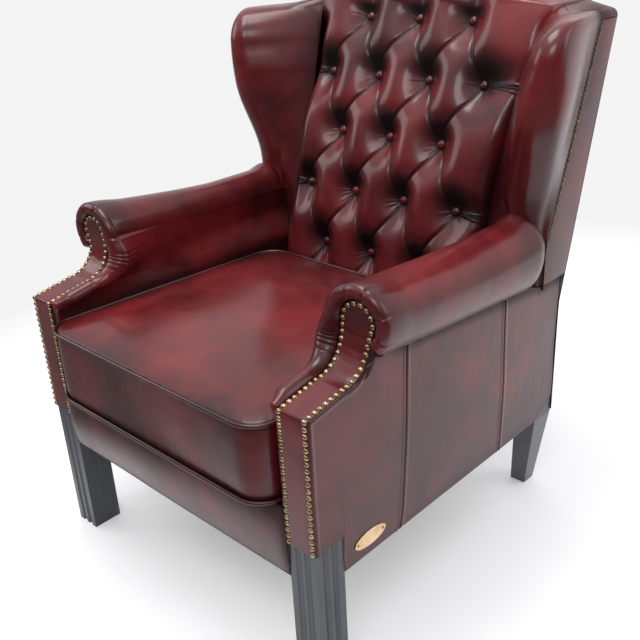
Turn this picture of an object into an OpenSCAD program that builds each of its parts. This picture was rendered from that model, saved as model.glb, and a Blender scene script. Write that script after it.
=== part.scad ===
// Chesterfield wing chair: a hardwood frame with webbing, padded and covered in leather.
// Millimetres. The front faces -Y, the sitter's left is +X, the floor is z = 0.
// Shapes are drawn with y = 0 on the front plane of the arm facings, then placed by place().

/* [Body] */
// Half the width over the front legs and side panels
half_w = 362; // [345:1:380]
// Thickness of a leather panel with its lining
skin = 3; // [2:0.5:4]
// Working gap between a loose piece and its neighbours
clearance = 0.4; // [0.3:0.1:1]
// Height of the rail bottoms above the floor
rail_z = 213; // [200:1:225]
// Depth of the seat rails
rail_h = 90; // [80:1:100]
// Thickness of the seat rails
rail_t = 25; // [20:1:28]

/* [Front legs] */
// Width of a front leg across the chair
leg_w = 58; // [54:1:62]
// Depth of a front leg from front to back
leg_d = 61; // [57:1:65]
// Height of the leg that shows below the leather
leg_show = 281; // [265:1:295]
// Radius of the cutter that makes a flute
flute_r = 7; // [6:0.5:8]
// Depth of a flute
flute_deep = 4; // [2:0.5:5]

/* [Rear legs] */
// Width of a rear leg and its post
post_w = 45; // [40:1:50]
// Depth of the post behind the back
post_d = 60; // [54:1:64]
// Side of the square foot
foot_w = 34; // [30:1:40]
// How far the foot stands in from the side
foot_in = 53; // [20:1:60]
// How far the foot stands back from the leg's top
foot_back = 43; // [20:1:60]

/* [Arms] */
// Height of the creased front corner of an arm
corner_z = 518; // [505:1:530]
// Depth of the low part of the arm's front slope
ramp_y = 79; // [70:1:90]
// Rise of the low part of the arm's front slope
ramp_rise = 14; // [8:1:20]
// Radius of the concave sweep up to the scroll
ramp_r = 60; // [52:1:68]
// Distance of the scroll's centre in from the side
scroll_in = 24; // [20:1:28]
// Height of the scroll's centre
scroll_z = 612; // [604:1:620]
// Radius of the flat round end of the facing
scroll_r = 34; // [31:1:37]
// Thickness of the padding round the scroll
roll_pad = 25; // [22:1:28]
// How much lower the roll lies at the wing
roll_drop = 13; // [5:1:20]
// How far the roll's rim stands ahead of its facing
rim = 9; // [6:1:12]
// Distance from the front to the wing's foot
wing_y = 588; // [575:1:600]
// Thickness of the board inside an arm
board_t = 2.5; // [2:0.5:4]
// Overhang of the inside arm above the cushion, at the front
arm_edge = 25; // [18:1:28]

/* [Back] */
// Rear face of the chair below its lean
back_y0 = 697; // [685:1:705]
// Height where the back starts to lean
back_kink_z = 450; // [430:1:470]
// Lean of the outside back
back_rake = 15.3; // [14:0.1:17]
// Height of the back at its middle
back_top = 1045; // [1035:1:1060]
// Drop of the back's top edge from its middle to the wings
arch = 30; // [20:1:40]
// How far the back's outer corners lie below its middle
shoulder_drop = 87; // [83:1:95]
// Distance of the crevice beside a wing in from the side
crevice_in = 126; // [120:1:132]
// Spacing of the buttons across the back, of half its buttoned width
pitch_share = 0.53; // [0.5:0.01:0.55]
// Spacing of the button rows, of the height from the lowest row to the top
row_share = 0.2214; // [0.215:0.0002:0.225]
// Lean of the back at its lowest row of buttons
tuft_rake = 12.5; // [11:0.5:14]
// Radius of the back's sweep, seen from the side
sweep_r = 1649; // [1550:10:1800]
// Depth of the lowest row behind the front plane
tuft_y = 569; // [562:1:574]
// Height of the lowest row
tuft_z = 512; // [505:1:519]
// Height of the pillows above their buttons
tuft_h = 36; // [28:1:40]
// Diameter of a covered button
button_d = 19; // [16:1:22]
// Thickness of a covered button
button_t = 8; // [6:1:9]

/* [Wings] */
// How far a wing's top lies below the back's middle
wing_drop = 71; // [65:1:77]
// Radius of a wing's rounded front edge
wing_r = 34; // [30:1:38]
// How far a wing leans out at its top
splay = 48; // [30:1:54]
// How far a wing leans forward at its top
wing_ahead = 26; // [15:1:34]
// Thickness of the board inside a wing
wing_board = 22; // [18:1:26]
// Lean of the row of nails behind the wing's front
nail_lean = 21.3; // [19:0.1:22.5]

/* [Seat] */
// Distance that the cushion stands ahead of the facings
cushion_ahead = 31; // [24:1:38]
// Distance from the front plane to the back of the cushion
cushion_back = 516; // [508:1:520]
// How far the cushion's front corners lie in from the front legs
front_pad = 11; // [9:1:17]
// How far the cushion's rear corners lie in from the front legs
rear_pad = 57; // [53:1:63]
// Height of the cushion's lower seam
seat_z = 348; // [344:1:352]
// Height of the cushion's border
border_h = 136; // [126:1:140]
// Rise of the cushion's crown above its upper seam
crown = 22; // [14:1:26]
// Radius of the cushion's corners
corner_r = 52; // [44:1:60]
// Radius of the piping
piping_r = 3.5; // [3:0.25:4]
// Draw-in of the border between its corners
draw_in = 4; // [1:0.5:6]
// Swell of the front border panel
swell = 7; // [3:1:10]

/* [Nails and plate] */
// Diameter of a facing nail's head
nail_d = 9.5; // [8.5:0.5:10]
// Height of a facing nail's head
nail_h = 2.8; // [2:0.2:3.4]
// Spacing of the facing nails
nail_pitch = 11.4; // [11:0.1:13]
// Distance of the nails in from the facing's edge
nail_in = 5.5; // [5.25:0.25:7]
// Diameter of a wing nail's head
wing_nail_d = 6.6; // [5.4:0.2:7]
// Height of a wing nail's head
wing_nail_h = 2; // [1.4:0.2:2.4]
// Spacing of the wing nails
wing_nail_pitch = 8.4; // [7.8:0.1:10]
// Width of the oval plate
plate_w = 75; // [60:1:80]
// Height of the oval plate
plate_h = 29; // [24:1:32]
// Thickness of the oval plate
plate_t = 1.2; // [0.8:0.1:1.6]
// Distance from the front plane to the plate's centre
plate_y = 124; // [120:1:130]
// Height of the plate's centre
plate_z = 246; // [243:1:252]
// Diameter of a plate pin's head
pin_d = 5; // [4:0.5:6]
// Height of a plate pin's head
pin_h = 1.6; // [1:0.2:2.4]

/* [Frame details] */
// Width of a webbing strap
strap_w = 50; // [40:1:55]
// Thickness of a webbing strap
strap_t = 2; // [1.5:0.5:2.5]
// Long side of a corner block
block = 95; // [88:1:105]
// Height of a corner block
block_h = 60; // [50:1:70]
// Diameter of a corner bolt
bolt_d = 8; // [6:0.5:10]
// Length of a corner bolt's shank
bolt_l = 58; // [50:1:62]
// Width across the points of a bolt's nut
nut_d = 15; // [13:0.5:17]
// Height of a bolt's nut
nut_h = 6; // [5:0.5:8]
// Thickness of the cloth under the seat
cloth_t = 1.2; // [0.8:0.1:2]

/* [Hidden] */
$fn = 48;
overrun = 2;
// Gap between neighbours that touch on the real chair
nip = 0.1;
// Nails are drawn in short groups
group_of = 6;
black_wood = [0.13, 0.13, 0.14];
pale_wood = [0.72, 0.57, 0.38];
oxblood = [0.38, 0.07, 0.08];
deep_oxblood = [0.26, 0.04, 0.05];
brass = [0.80, 0.64, 0.32];
black_cloth = [0.10, 0.10, 0.10];
strap_tan = [0.55, 0.46, 0.33];
steel = [0.60, 0.60, 0.62];

// Planes that several pieces share
lining_x = half_w - skin;
leg_in = lining_x - leg_w;
leg_back = skin + leg_d;
cushion_front_half = leg_in - front_pad;
cushion_back_half = leg_in - rear_pad;
tuft_half = half_w - crevice_in;
button_pitch = tuft_half * pitch_share;
row_pitch = (back_top - tuft_z) * row_share;
shoulder_z = back_top - shoulder_drop;
wing_top = back_top - wing_drop;
rail_top = rail_z + rail_h;
rail_in = lining_x - rail_t;
post_in = lining_x - post_w;
post_side = leg_in + board_t + nip;
deck_low = rail_top + 2 * strap_t + nip;
deck_top = seat_z - piping_r - clearance;
scroll_x = half_w - scroll_in;
scroll_y = ramp_y + ramp_r;
ramp_z = corner_z + ramp_rise;
roll_r = scroll_r + roll_pad;
head_back = scroll_y + skin + rail_t;
head_low = scroll_z - scroll_r;
arm_rail_z = head_low - rail_t;
arm_rail_in = lining_x - 2 * rail_t;
arm_rail_out = lining_x - skin;
shelf_z = arm_rail_z - skin;

function mid(a, b, t) = a + (b - a) * t;
function ease(t) = t <= 0 ? 0 : t >= 1 ? 1 : t * t * (3 - 2 * t);
function join(lists) = [for (one = lists) each one];
function back_to_front(list) = [for (i = [len(list) - 1 : -1 : 0]) list[i]];
function steps(n) = [for (i = [0 : n]) i / n];

// Rear face of the chair and front face of its posts at a height
function back_y(z) = back_y0 + max(0, z - back_kink_z) * tan(back_rake);
panel = skin / cos(back_rake) + nip;
pad_off = 2 * strap_t / cos(back_rake) + nip;
post_top = shoulder_z - skin;
function panel_y(z) = back_y(z) - panel;
function post_y(z) = back_y(z) - skin - post_d;
// Top of the buttoned back at a distance from its middle
function top_z(x) = back_top - arch * pow(min(abs(x), tuft_half) / tuft_half, 2);
edge_drop = 14;
back_panel_top = back_top - edge_drop;

// The frontmost and rearmost points set the origin halfway between them
y_mid = (back_y(back_panel_top) - cushion_ahead - piping_r) / 2;

module place() translate([0, -y_mid, 0]) children();
// One side of the chair: 1 is the sitter's left, -1 the sitter's right
module hand(s) {
    if (s > 0) children();
    else mirror([1, 0, 0]) children();
}
// The plane of the outside back: local z runs up its lean, local y = 0 is its rear face
module raked() translate([0, back_y0, back_kink_z]) rotate([-back_rake, 0, 0]) children();
function up_lean(z) = (z - back_kink_z) / cos(back_rake);
post_off = (skin + post_d) * cos(back_rake);

// A closed skin through loops with equal counts of points, capped at both ends
module loft(loops, flip = false) {
    n = len(loops[0]);
    m = len(loops);
    walls = [for (j = [0 : m - 2], i = [0 : n - 1])
        let (k = (i + 1) % n)
        each [[j * n + i, (j + 1) * n + i, (j + 1) * n + k], [j * n + i, (j + 1) * n + k, j * n + k]]];
    low = [for (i = [0 : n - 1]) i];
    high = [for (i = [n - 1 : -1 : 0]) (m - 1) * n + i];
    faces = concat([low], walls, [high]);
    polyhedron(points = join(loops), faces = flip ? [for (f = faces) back_to_front(f)] : faces,
        convexity = 8);
}

// A profile drawn as (y, z) and drawn out along X, or drawn as (x, z) and drawn out along Y
module across(x0, x1) translate([x0, 0, 0]) rotate([90, 0, 90]) linear_extrude(x1 - x0) children();
module along(y0, y1) translate([0, y1, 0]) rotate([90, 0, 0]) linear_extrude(y1 - y0) children();
// A block between two corners
module box(a, b) translate(a) cube(b - a);

// Frame

// The hollow sweep of the arm's front in the side view, set back by d
ramp_steps = 10;
function sweep_arc(d, to = 0) = [for (t = steps(ramp_steps)) let (a = mid(-90, to, t))
    [ramp_y + (ramp_r + d) * cos(a), ramp_z + ramp_r + (ramp_r + d) * sin(a)]];
// Height of the arm's front slope at a distance from the front
function ramp_at(y) = y <= ramp_y
    ? mid(corner_z, ramp_z, max(0, y) / ramp_y)
    : ramp_z + ramp_r - sqrt(max(0, ramp_r * ramp_r - pow(min(y, scroll_y) - ramp_y, 2)));

// Top of the frame under the low part of the slope
function under_ramp(y) = mid(corner_z, ramp_z, (y - skin) / (ramp_y - skin)) - skin - nip / 2;

// A bolt through the middle of a corner block's long face, towards the leg
bolt_z = rail_z + rail_h / 2;
front_mid = [rail_in - block / 2, skin + rail_t + swell + block / 2];
rear_mid = [rail_in - block / 2, back_y0 - skin - rail_t - block / 2];
module corner_bore(g) {
    translate([front_mid[0], front_mid[1], bolt_z]) rotate([0, 90, -45])
        translate([0, 0, -overrun]) cylinder(d = bolt_d + 2 * g, h = bolt_l + overrun + g);
    translate([rear_mid[0], rear_mid[1], bolt_z]) rotate([0, 90, 45])
        translate([0, 0, -overrun]) cylinder(d = bolt_d + 2 * g, h = bolt_l + overrun + g);
}

// Outline of a facing seen from the front, grown by g: it flares from the arm's width to the scroll's
flare_z = scroll_z - scroll_r;
module facing_outline(g) {
    polygon([[leg_in - g, leg_show - g], [half_w + g, leg_show - g], [half_w + g, flare_z],
        [scroll_x + scroll_r + g, scroll_z], [scroll_x - scroll_r - g, scroll_z], [leg_in - g, flare_z]]);
    translate([scroll_x, scroll_z]) circle(r = scroll_r + g);
}

// A square leg, fluted on its two outer faces, that runs up inside the arm's front
module front_leg(s) place() hand(s) color(black_wood) difference() {
    union() {
        box([leg_in, skin, 0], [lining_x, leg_back, leg_show]);
        across(leg_in, lining_x) polygon([[skin, leg_show], [leg_back, leg_show],
            [leg_back, under_ramp(leg_back)], [skin, under_ramp(skin)]]);
    }
    for (i = [1, 2]) {
        translate([leg_in + i * leg_w / 3, skin - flute_r + flute_deep, -overrun])
            cylinder(r = flute_r, h = leg_show + overrun);
        translate([lining_x + flute_r - flute_deep, skin + i * leg_d / 3, -overrun])
            cylinder(r = flute_r, h = leg_show + overrun);
    }
    corner_bore(clearance);
}

// A raked and tapered leg that runs up into the post of the back
module rear_leg(s) place() hand(s) color(black_wood) difference() {
    y1 = back_y0 - panel;
    foot_x = lining_x - foot_in;
    union() {
        hull() {
            box([foot_x - foot_w, y1 + foot_back - foot_w, 0], [foot_x, y1 + foot_back, skin]);
            box([post_in, post_y(rail_z), rail_z - skin], [lining_x, y1, rail_z]);
        }
        across(post_in, lining_x) polygon([[post_y(rail_z), rail_z], [y1, rail_z], [y1, back_kink_z],
            [panel_y(post_top), post_top], [post_y(post_top), post_top], [post_y(rail_z), back_kink_z]]);
    }
    corner_bore(clearance);
}

rail_front = skin + swell;
module front_rail() place() color(pale_wood)
    box([-leg_in, rail_front, rail_z], [leg_in, rail_front + rail_t, rail_top]);
module back_rail() place() color(pale_wood)
    box([-post_in, back_y0 - skin - rail_t, rail_z], [post_in, back_y0 - skin, rail_top]);
module side_rail(s) place() hand(s) color(pale_wood)
    box([rail_in, leg_back, rail_z], [lining_x, post_y(rail_z), rail_top]);

// Notched blocks in the four corners of the seat frame
module corner_blocks() place() color(pale_wood) for (s = [1, -1]) hand(s) difference() {
    translate([0, 0, bolt_z - block_h / 2]) linear_extrude(block_h) {
        y0 = rail_front + rail_t;
        y1 = back_y0 - skin - rail_t;
        polygon([[rail_in - block, y0], [leg_in, y0], [leg_in, leg_back], [rail_in, leg_back],
            [rail_in, y0 + block]]);
        polygon([[rail_in - block, y1], [post_in, y1], [post_in, post_y(rail_z)],
            [rail_in, post_y(rail_z)], [rail_in, y1 - block]]);
    }
    corner_bore(clearance);
}
module corner_bolts() place() color(steel) for (s = [1, -1]) hand(s)
    for (b = [[front_mid, -45], [rear_mid, 45]])
        translate([b[0][0], b[0][1], bolt_z]) rotate([0, 90, b[1]]) {
            cylinder(d = bolt_d, h = bolt_l);
            translate([0, 0, -nut_h]) cylinder(d = nut_d, h = nut_h, $fn = 6);
        }

// The board that shapes the front of an arm, with its round scroll head
module arm_post(s) place() hand(s) color(pale_wood) {
    across(post_side, lining_x) polygon(concat(
        [[leg_back, rail_top], [leg_back, under_ramp(leg_back)]], sweep_arc(skin + nip),
        [[scroll_y + skin + nip, head_low], [head_back, head_low], [head_back, rail_top]]));
    translate([scroll_x, head_back, scroll_z]) rotate([90, 0, 0])
        cylinder(r = scroll_r - skin, h = rail_t);
}
// The rail under the roll, from the scroll head to the post of the back
module arm_rail(s) place() hand(s) color(pale_wood)
    box([arm_rail_in, head_back, arm_rail_z], [arm_rail_out, post_y(arm_rail_z), head_low]);
// The thin board that backs the inside of an arm
module arm_board(s) place() hand(s) color(pale_wood) across(leg_in, leg_in + board_t)
    polygon([[leg_back, deck_low], [leg_back, ramp_at(leg_back) - 2 * skin],
        [ramp_y, ramp_at(ramp_y) - 2 * skin], [head_back, shelf_z - skin],
        [post_y(rail_top), shelf_z - skin], [post_y(rail_top), deck_low]]);

// Rails of the back, between the posts
rail_under_top = 48;
module top_rail() place() raked() color(pale_wood) along(-post_off, rail_t - post_off) {
    low = up_lean(shoulder_z - 2 * post_d);
    step = up_lean(shoulder_z - skin) - post_off * tan(back_rake);
    half = tuft_half - skin;
    polygon(concat([[-post_in, low], [post_in, low], [post_in, step], [half, step]],
        [for (t = steps(12)) let (x = mid(half, -half, t)) [x, up_lean(top_z(x) - rail_under_top)]],
        [[-half, step], [-post_in, step]]));
}
module tack_rail() place() raked() color(pale_wood)
    box([-post_in, -post_off, rail_t], [post_in, rail_t - post_off, 3 * rail_t]);

// The tip of a wing at a height, seen from above: the middle of its rounded front edge
wing_low = shelf_z + nip;
top_round = wing_top - shoulder_z;
front_round = 46;
roll_top = scroll_z + roll_r;
function splay_share(z) = ease((z - scroll_z + 2 * swell) / (shoulder_z - 2 * wing_r - scroll_z));
function ahead_share(z) = ease((z - roll_top) / (2 * roll_r + wing_r));
function tip_x(z) = half_w - wing_r - 10 * nip - skin - swell + splay * splay_share(z);
function tip_y(z) = wing_y + wing_r + nip - wing_ahead * ahead_share(z)
    + front_round * (1 - sqrt(1 - pow(max(0, z - wing_top + front_round) / front_round, 2)));
// The row of nails rises straight up to here, then leans back
bend_z = shelf_z + 8 * skin;
function nail_line_y(z) = wing_y + wing_r + skin + max(0, z - bend_z) * tan(nail_lean);

// The board inside a wing, grown by g
wing_frame_top = shoulder_z - 4 * skin;
module wing_core(g) {
    loft([for (t = steps(5)) let (z = mid(head_low + nip, wing_frame_top, t), end = g * (2 * floor(t) - 1),
            up = t > 0 && t < 1 ? z : z + end, x = tip_x(z), x1 = lining_x - skin)
        [[x - wing_board / 2 - g, tip_y(z) - g, up], [x + wing_board / 2 + g, tip_y(z) - g, up],
         [x1 + g, post_y(z), up], [x1 - wing_board - g, post_y(z), up]]]);
}
module wing_frame(s) place() hand(s) color(pale_wood) wing_core(0);

// Webbing of the seat: straps across, then straps from front to back on them
seat_straps = 5;
module seat_webbing() place() color(strap_tan) {
    y0 = head_back + strap_w / 2 + skin;
    y1 = post_y(rail_z) - strap_w / 2 - skin;
    for (t = steps(seat_straps)) let (y = mid(y0, y1, t))
        box([-rail_in - rail_t / 2, y - strap_w / 2, rail_top],
            [rail_in + rail_t / 2, y + strap_w / 2, rail_top + strap_t]);
    for (t = steps(seat_straps - 1)) let (x = mid(-1, 1, t) * (leg_in - strap_w))
        box([x - strap_w / 2, rail_front + skin, rail_top + strap_t],
            [x + strap_w / 2, back_y0 - 2 * skin, rail_top + 2 * strap_t]);
}
// Webbing of the back, in front of its rails and posts
module back_webbing() place() raked() color(strap_tan) {
    y0 = -post_off;
    low = rail_t;
    high = up_lean(shoulder_z - 2 * skin);
    reach = lining_x - wing_board - 2 * skin - nip;
    for (t = steps(3)) let (z = mid(up_lean(head_low + strap_w), high - 2 * post_d, t))
        box([-reach, y0 - strap_t, z - strap_w / 2], [reach, y0, z + strap_w / 2]);
    for (t = steps(3)) let (x = mid(-1, 1, t) * (tuft_half - strap_w))
        box([x - strap_w / 2, y0 - 2 * strap_t, low], [x + strap_w / 2, y0 - strap_t, high]);
}
// The padded deck under the cushion
module seat_deck() place() color(black_cloth)
    box([-leg_in + nip, rail_front + nip, deck_low], [leg_in - nip, post_y(rail_z) - nip, deck_top]);
module dust_cover() place() color(black_cloth)
    box([-rail_in - rail_t / 2, leg_back + skin, rail_z - cloth_t],
        [rail_in + rail_t / 2, post_y(rail_z) - skin, rail_z]);

// Padding of the arms

// Inner face of the inside arm at a distance from the front
function arm_in(y) = mid(cushion_front_half, cushion_back_half,
    (y + cushion_ahead) / (cushion_back + cushion_ahead)) + piping_r + 2 * clearance;
// How far along the roll a place lies, from its facing to the wing
function roll_share(y) = max(0, (y - scroll_y) / (wing_y - scroll_y));
roll_sag_share = 0.62;
roll_steps = 18;
roll_a = acos(scroll_in / roll_r);
// Lowest point of the roll on the side panel
function roll_low(y) = scroll_z - roll_drop * roll_share(y)
    - roll_r * sin(roll_a) * (1 + roll_sag_share * roll_share(y));
// One loop of the roll at a distance from the front, drawn in by d
function roll_loop(y, d) =
    let (f = roll_share(y), zc = scroll_z - roll_drop * f, r = roll_r - d)
    concat([[lining_x + nip, y, shelf_z + nip]],
        [for (t = steps(roll_steps)) let (a = mid(-roll_a, 180, t))
            [scroll_x + r * cos(a), y, zc + r * sin(a) * (a < 0 ? 1 + roll_sag_share * f : 1)]],
        [[scroll_x - r, y, shelf_z + nip]]);
// Where the roll's lower edge passes below the shelf
meet = mid(scroll_y, wing_y, (roll_low(scroll_y) - shelf_z) / (roll_low(scroll_y) - roll_low(wing_y)));
rim_steps = 4;
module arm_roll(s) place() hand(s) color(oxblood) difference() {
    y0 = scroll_y - rim;
    soft = roll_pad / 2;
    loft(flip = true, concat(
        [for (t = steps(rim_steps)) roll_loop(y0 + soft * (1 - cos(90 * t)), soft * (1 - sin(90 * t)))],
        [for (t = steps(4)) roll_loop(mid(meet, wing_y, t), 0)]));
    // Recess of the facing, then of the scroll head and the rail
    along(y0 - overrun, scroll_y + skin + nip) facing_outline(nip);
    box([post_side - nip, scroll_y, shelf_z - overrun], [lining_x + nip, head_back + nip, head_low + nip]);
    translate([scroll_x, head_back + nip, scroll_z]) rotate([90, 0, 0])
        cylinder(r = scroll_r - skin + nip, h = rail_t + overrun);
    box([arm_rail_in - nip, scroll_y, arm_rail_z - nip],
        [lining_x + nip, wing_y + overrun, head_low + nip]);
}

// The padded inside of an arm, from its front edge to the back
edge_rise = 9;
knee_z = seat_z + border_h + 5 * skin;
function arm_front_points(y, d) =
    let (r = arm_edge / 3, x = scroll_x - roll_r - skin + d, top = min(ramp_at(y) + edge_rise, shelf_z) - d)
    [[leg_in - nip, top], [x + r, top], [x + r / 4, top - r / 4], [x, top - r],
     [mid(x, arm_in(y), 0.5), knee_z + skin - d], [arm_in(y), knee_z - skin]];
function arm_rear_points(y) =
    let (x = scroll_x - roll_r)
    [[leg_in - nip, shelf_z], [x, shelf_z], [mid(x, arm_in(y), 0.4), shelf_z - skin],
     [mid(x, arm_in(y), 0.8), shelf_z - 3 * skin], [arm_in(y), knee_z + 2 * skin],
     [arm_in(y), knee_z - skin]];
function arm_loop(y, d = 0) =
    let (f = ease((y - scroll_y) / roll_r), p = mid(arm_front_points(y, d), arm_rear_points(y), f))
    concat([for (q = p) [q[0], y, q[1]]],
        [[arm_in(y), y, deck_top + nip], [leg_in - nip, y, deck_top + nip]]);
module inside_arm(s) place() hand(s) color(oxblood) {
    y0 = 2 * skin;
    ys = concat([y0], [for (t = steps(6)) mid(y0 + skin, scroll_y, t)],
        [for (t = [1 : 4]) scroll_y + roll_r * t / 4],
        [for (t = [1 : 4]) mid(scroll_y + roll_r, post_y(rail_z) - nip, t / 4)]);
    loft([for (y = ys) arm_loop(y, y == y0 ? skin : 0)], flip = true);
}

// The leather panel on the outside of an arm
seam_z = shelf_z - 14 * skin;
module outside_arm(s) place() hand(s) color(oxblood) across(lining_x, half_w) {
    low = shelf_z - nip;
    stop = -asin((ramp_z + ramp_r - low) / (ramp_r + skin + nip));
    y1 = back_y0 - panel - nip;
    polygon(concat([[leg_back, rail_z], [leg_back, leg_show], [skin + nip, leg_show],
            [skin + nip, corner_z - skin]], sweep_arc(skin + nip, stop),
        [[meet, low], [wing_y, min(seam_z, roll_low(wing_y)) - nip], [nail_line_y(seam_z), seam_z - nip],
        [panel_y(seam_z) - nip, seam_z - nip], [y1, back_kink_z],
        [y1, rail_z + foot_w], [post_y(rail_z), rail_z]]));
}

// The flat leather strip with a round top that faces an arm
module arm_facing(s) place() hand(s) color(oxblood) intersection() {
    across(leg_in, scroll_x + scroll_r + skin)
        polygon(concat([[0, leg_show], [0, corner_z]], sweep_arc(0),
            [[scroll_y, scroll_z + scroll_r + skin], [scroll_y + skin, scroll_z + scroll_r + skin]],
            back_to_front(sweep_arc(skin)),
            [[skin, corner_z - skin], [skin, leg_show]]));
    along(-overrun, scroll_y + skin + overrun) facing_outline(0);
}

// Nails

module nail(d, h) rotate_extrude() polygon(concat([[0, 0]],
    [for (t = [0 : 2]) [d / 2 * cos(30 * t), h * sin(30 * t)]], [[0, h]]));

// Place and lean of a facing nail at a run t up the strip from its hem
low_run = corner_z - leg_show;
arc_run = ramp_r * PI / 2;
side_run = low_run + ramp_y + arc_run + scroll_z - ramp_z - ramp_r;
function strip_point(t) =
    t < low_run ? [0, leg_show + t, 0]
    : t < low_run + ramp_y ? let (u = (t - low_run) / ramp_y)
        [ramp_y * u, corner_z + ramp_rise * u, 90 - atan(ramp_rise / ramp_y)]
    : t < low_run + ramp_y + arc_run
        ? let (a = -90 * (1 - (t - low_run - ramp_y) / arc_run), r = ramp_r - nail_d * nail_d / 5 / ramp_r)
        [ramp_y + r * cos(a), ramp_z + ramp_r + r * sin(a), -a]
    : [scroll_y, ramp_z + ramp_r + t - low_run - ramp_y - arc_run, 0];
module facing_nail(x, t) let (p = strip_point(t))
    translate([x, p[0], p[1]]) rotate([90 - p[2], 0, 0]) translate([0, 0, 2 * nip]) nail(nail_d, nail_h);
module facing_nails(s) place() hand(s) color(brass) {
    n = floor((side_run - nail_in) / nail_pitch);
    round_r = scroll_r - nail_in;
    m = floor(PI * round_r / nail_pitch);
    for (g = [0 : group_of : n]) union() for (i = [g : min(n, g + group_of - 1)]) {
        t = mid(nail_in, side_run, i / n);
        out = max(0, (t - side_run + scroll_r) / scroll_r);
        if (abs(t - low_run) > nail_d / 2) {
            facing_nail(mid(leg_in + nail_in, scroll_x - round_r, out), t);
            facing_nail(mid(half_w - nail_in, scroll_x + round_r, out), t);
        }
    }
    for (i = [1 : m - 1]) let (a = 180 * i / m)
        translate([scroll_x + round_r * cos(a), scroll_y, scroll_z + round_r * sin(a)])
            rotate([90, 0, 0]) nail(nail_d, nail_h);
}
module wing_nails(s) place() hand(s) color(brass) {
    z0 = seam_z + wing_nail_d;
    z1 = shoulder_z - 2 * wing_nail_d;
    n = floor((z1 - z0) / cos(nail_lean) / wing_nail_pitch);
    for (g = [0 : group_of : n]) union() for (i = [g : min(n, g + group_of - 1)])
        let (z = mid(z0, z1, i / n))
            translate([half_w, nail_line_y(z) + wing_nail_d / 2 + nip, z]) rotate([0, 90, 0])
                nail(wing_nail_d, wing_nail_h);
}

// Wings

strip_top = shoulder_z - 3 * nip;
// The leather strip on the outside, between the nails and the outside back
module outside_wing(s) place() hand(s) color(oxblood) across(lining_x, half_w)
    polygon([[nail_line_y(seam_z), seam_z], [panel_y(seam_z) - nip, seam_z],
        [panel_y(strip_top) - nip, strip_top], [nail_line_y(strip_top), strip_top],
        [nail_line_y(bend_z), bend_z]]);

// Depth of the buttons' line at a height
function tuft_lean(z) = asin(sin(tuft_rake) + (z - tuft_z) / sweep_r);
function tuft_line(z) = tuft_y + sweep_r * (cos(tuft_rake) - cos(tuft_lean(z)));
crevice = 20;
tip_steps = 9;
// One loop of a wing at a height, drawn in by d, with the rear reaching the post or past it
function wing_loop(z, d, past) =
    let (c = [tip_x(z), tip_y(z)], r = wing_r - d, yn = nail_line_y(z) - 4 * nip,
         x0 = tuft_half + nip, y0 = tuft_line(z) + crevice + d,
         in = [c[0] + r * cos(215), c[1] + r * sin(215)],
         y1 = past ? panel_y(z) - nip - d / 2 : post_y(z) - pad_off,
         x1 = past ? half_w - d : lining_x - nip)
    [for (p = concat([[x0, y0], mid([x0, y0], in, 0.35) - [4, 10] / 10 * swell,
            mid([x0, y0], in, 0.7) - [4, 8] / 10 * swell],
        [for (t = steps(tip_steps)) let (a = mid(215, 355, t)) c + r * [cos(a), sin(a)]],
        [mid(c + [r, 0], [half_w - d, yn], 0.5) + [skin, 0], [half_w - d, yn], [x1, yn + nip],
            [x1, y1], [x0, y1]])) [p[0], p[1], z]];
module wing_pad(s) place() hand(s) color(oxblood) difference() {
    loft(concat([wing_loop(seam_z, 0, false)],
        [for (t = steps(9)) wing_loop(mid(bend_z, shoulder_z - nip, t), 0, false)],
        [for (t = steps(4)) wing_loop(shoulder_z + top_round * sin(90 * t),
            top_round * (1 - cos(90 * t)), true)]));
    box([0, wing_y - wing_r, seam_z - overrun], [post_side, back_y0, shelf_z + nip]);
    box([arm_rail_in - nip, wing_y - overrun, arm_rail_z - nip],
        [arm_rail_out + nip, post_y(arm_rail_z) + overrun, head_low + nip]);
    wing_core(nip);
}

// Back

// The deep-buttoned back: pillows between diagonal pleats, with a button where pleats cross
cols_each = 6;
rows_each = 6;
rows_up = 25;
rows_down = 8;
function frac_gap(v) = abs(v - round(v));
// Share of the full pillow height at a place across (x) and up the back (s)
pleat_share = 0.5;
function tuft_share(x, s) =
    let (p = x / button_pitch + s / row_pitch / 2, q = x / button_pitch - s / row_pitch / 2,
         d = norm([frac_gap(p) + frac_gap(q), frac_gap(p) - frac_gap(q)]),
         pleat = sqrt(abs(sin(180 * p) * sin(180 * q))), well = ease((d - 0.34) / 0.5),
         side = ease((tuft_half - abs(x)) / (tuft_half / 6)), low = ease((s + row_pitch) / row_pitch),
         body = mid(pleat_share * well, 1, pleat * well))
    body * mid(0.3, 1, side) * mid(0.15, 1, low);
function tuft_point(x, s, h) =
    let (a = tuft_rake + s / sweep_r * 180 / PI)
    [tuft_y + sweep_r * (cos(tuft_rake) - cos(a)) - h * cos(a),
     tuft_z + sweep_r * (sin(a) - sin(tuft_rake)) + h * sin(a)];
back_foot = tuft_point(0, -rows_down * row_pitch / rows_each, 0)[1];
function back_loop(x) =
    let (s1 = rows_up * row_pitch / rows_each, h1 = tuft_h * tuft_share(x, s1),
         f = tuft_point(x, s1, h1), top = top_z(x), yr = panel_y(top - edge_drop) - nip,
         under = top - rail_under_top + (skin + post_d) * sin(back_rake) + nip)
    concat([for (j = [-rows_down : rows_up]) let (s = j * row_pitch / rows_each)
            tuft_point(x, s, tuft_h * tuft_share(x, s))],
        [for (t = [1 : 5]) let (a = 90 * t / 5) [mid(yr, f[0], cos(a)), f[1] + (top - f[1]) * sin(a)]],
        [[panel_y(under) - nip, under], [post_y(under) - pad_off, under],
         [post_y(shoulder_z) - pad_off, shoulder_z],
         [post_y(back_kink_z) - pad_off, back_kink_z], [post_y(back_kink_z) - pad_off, back_foot]]);
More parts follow.
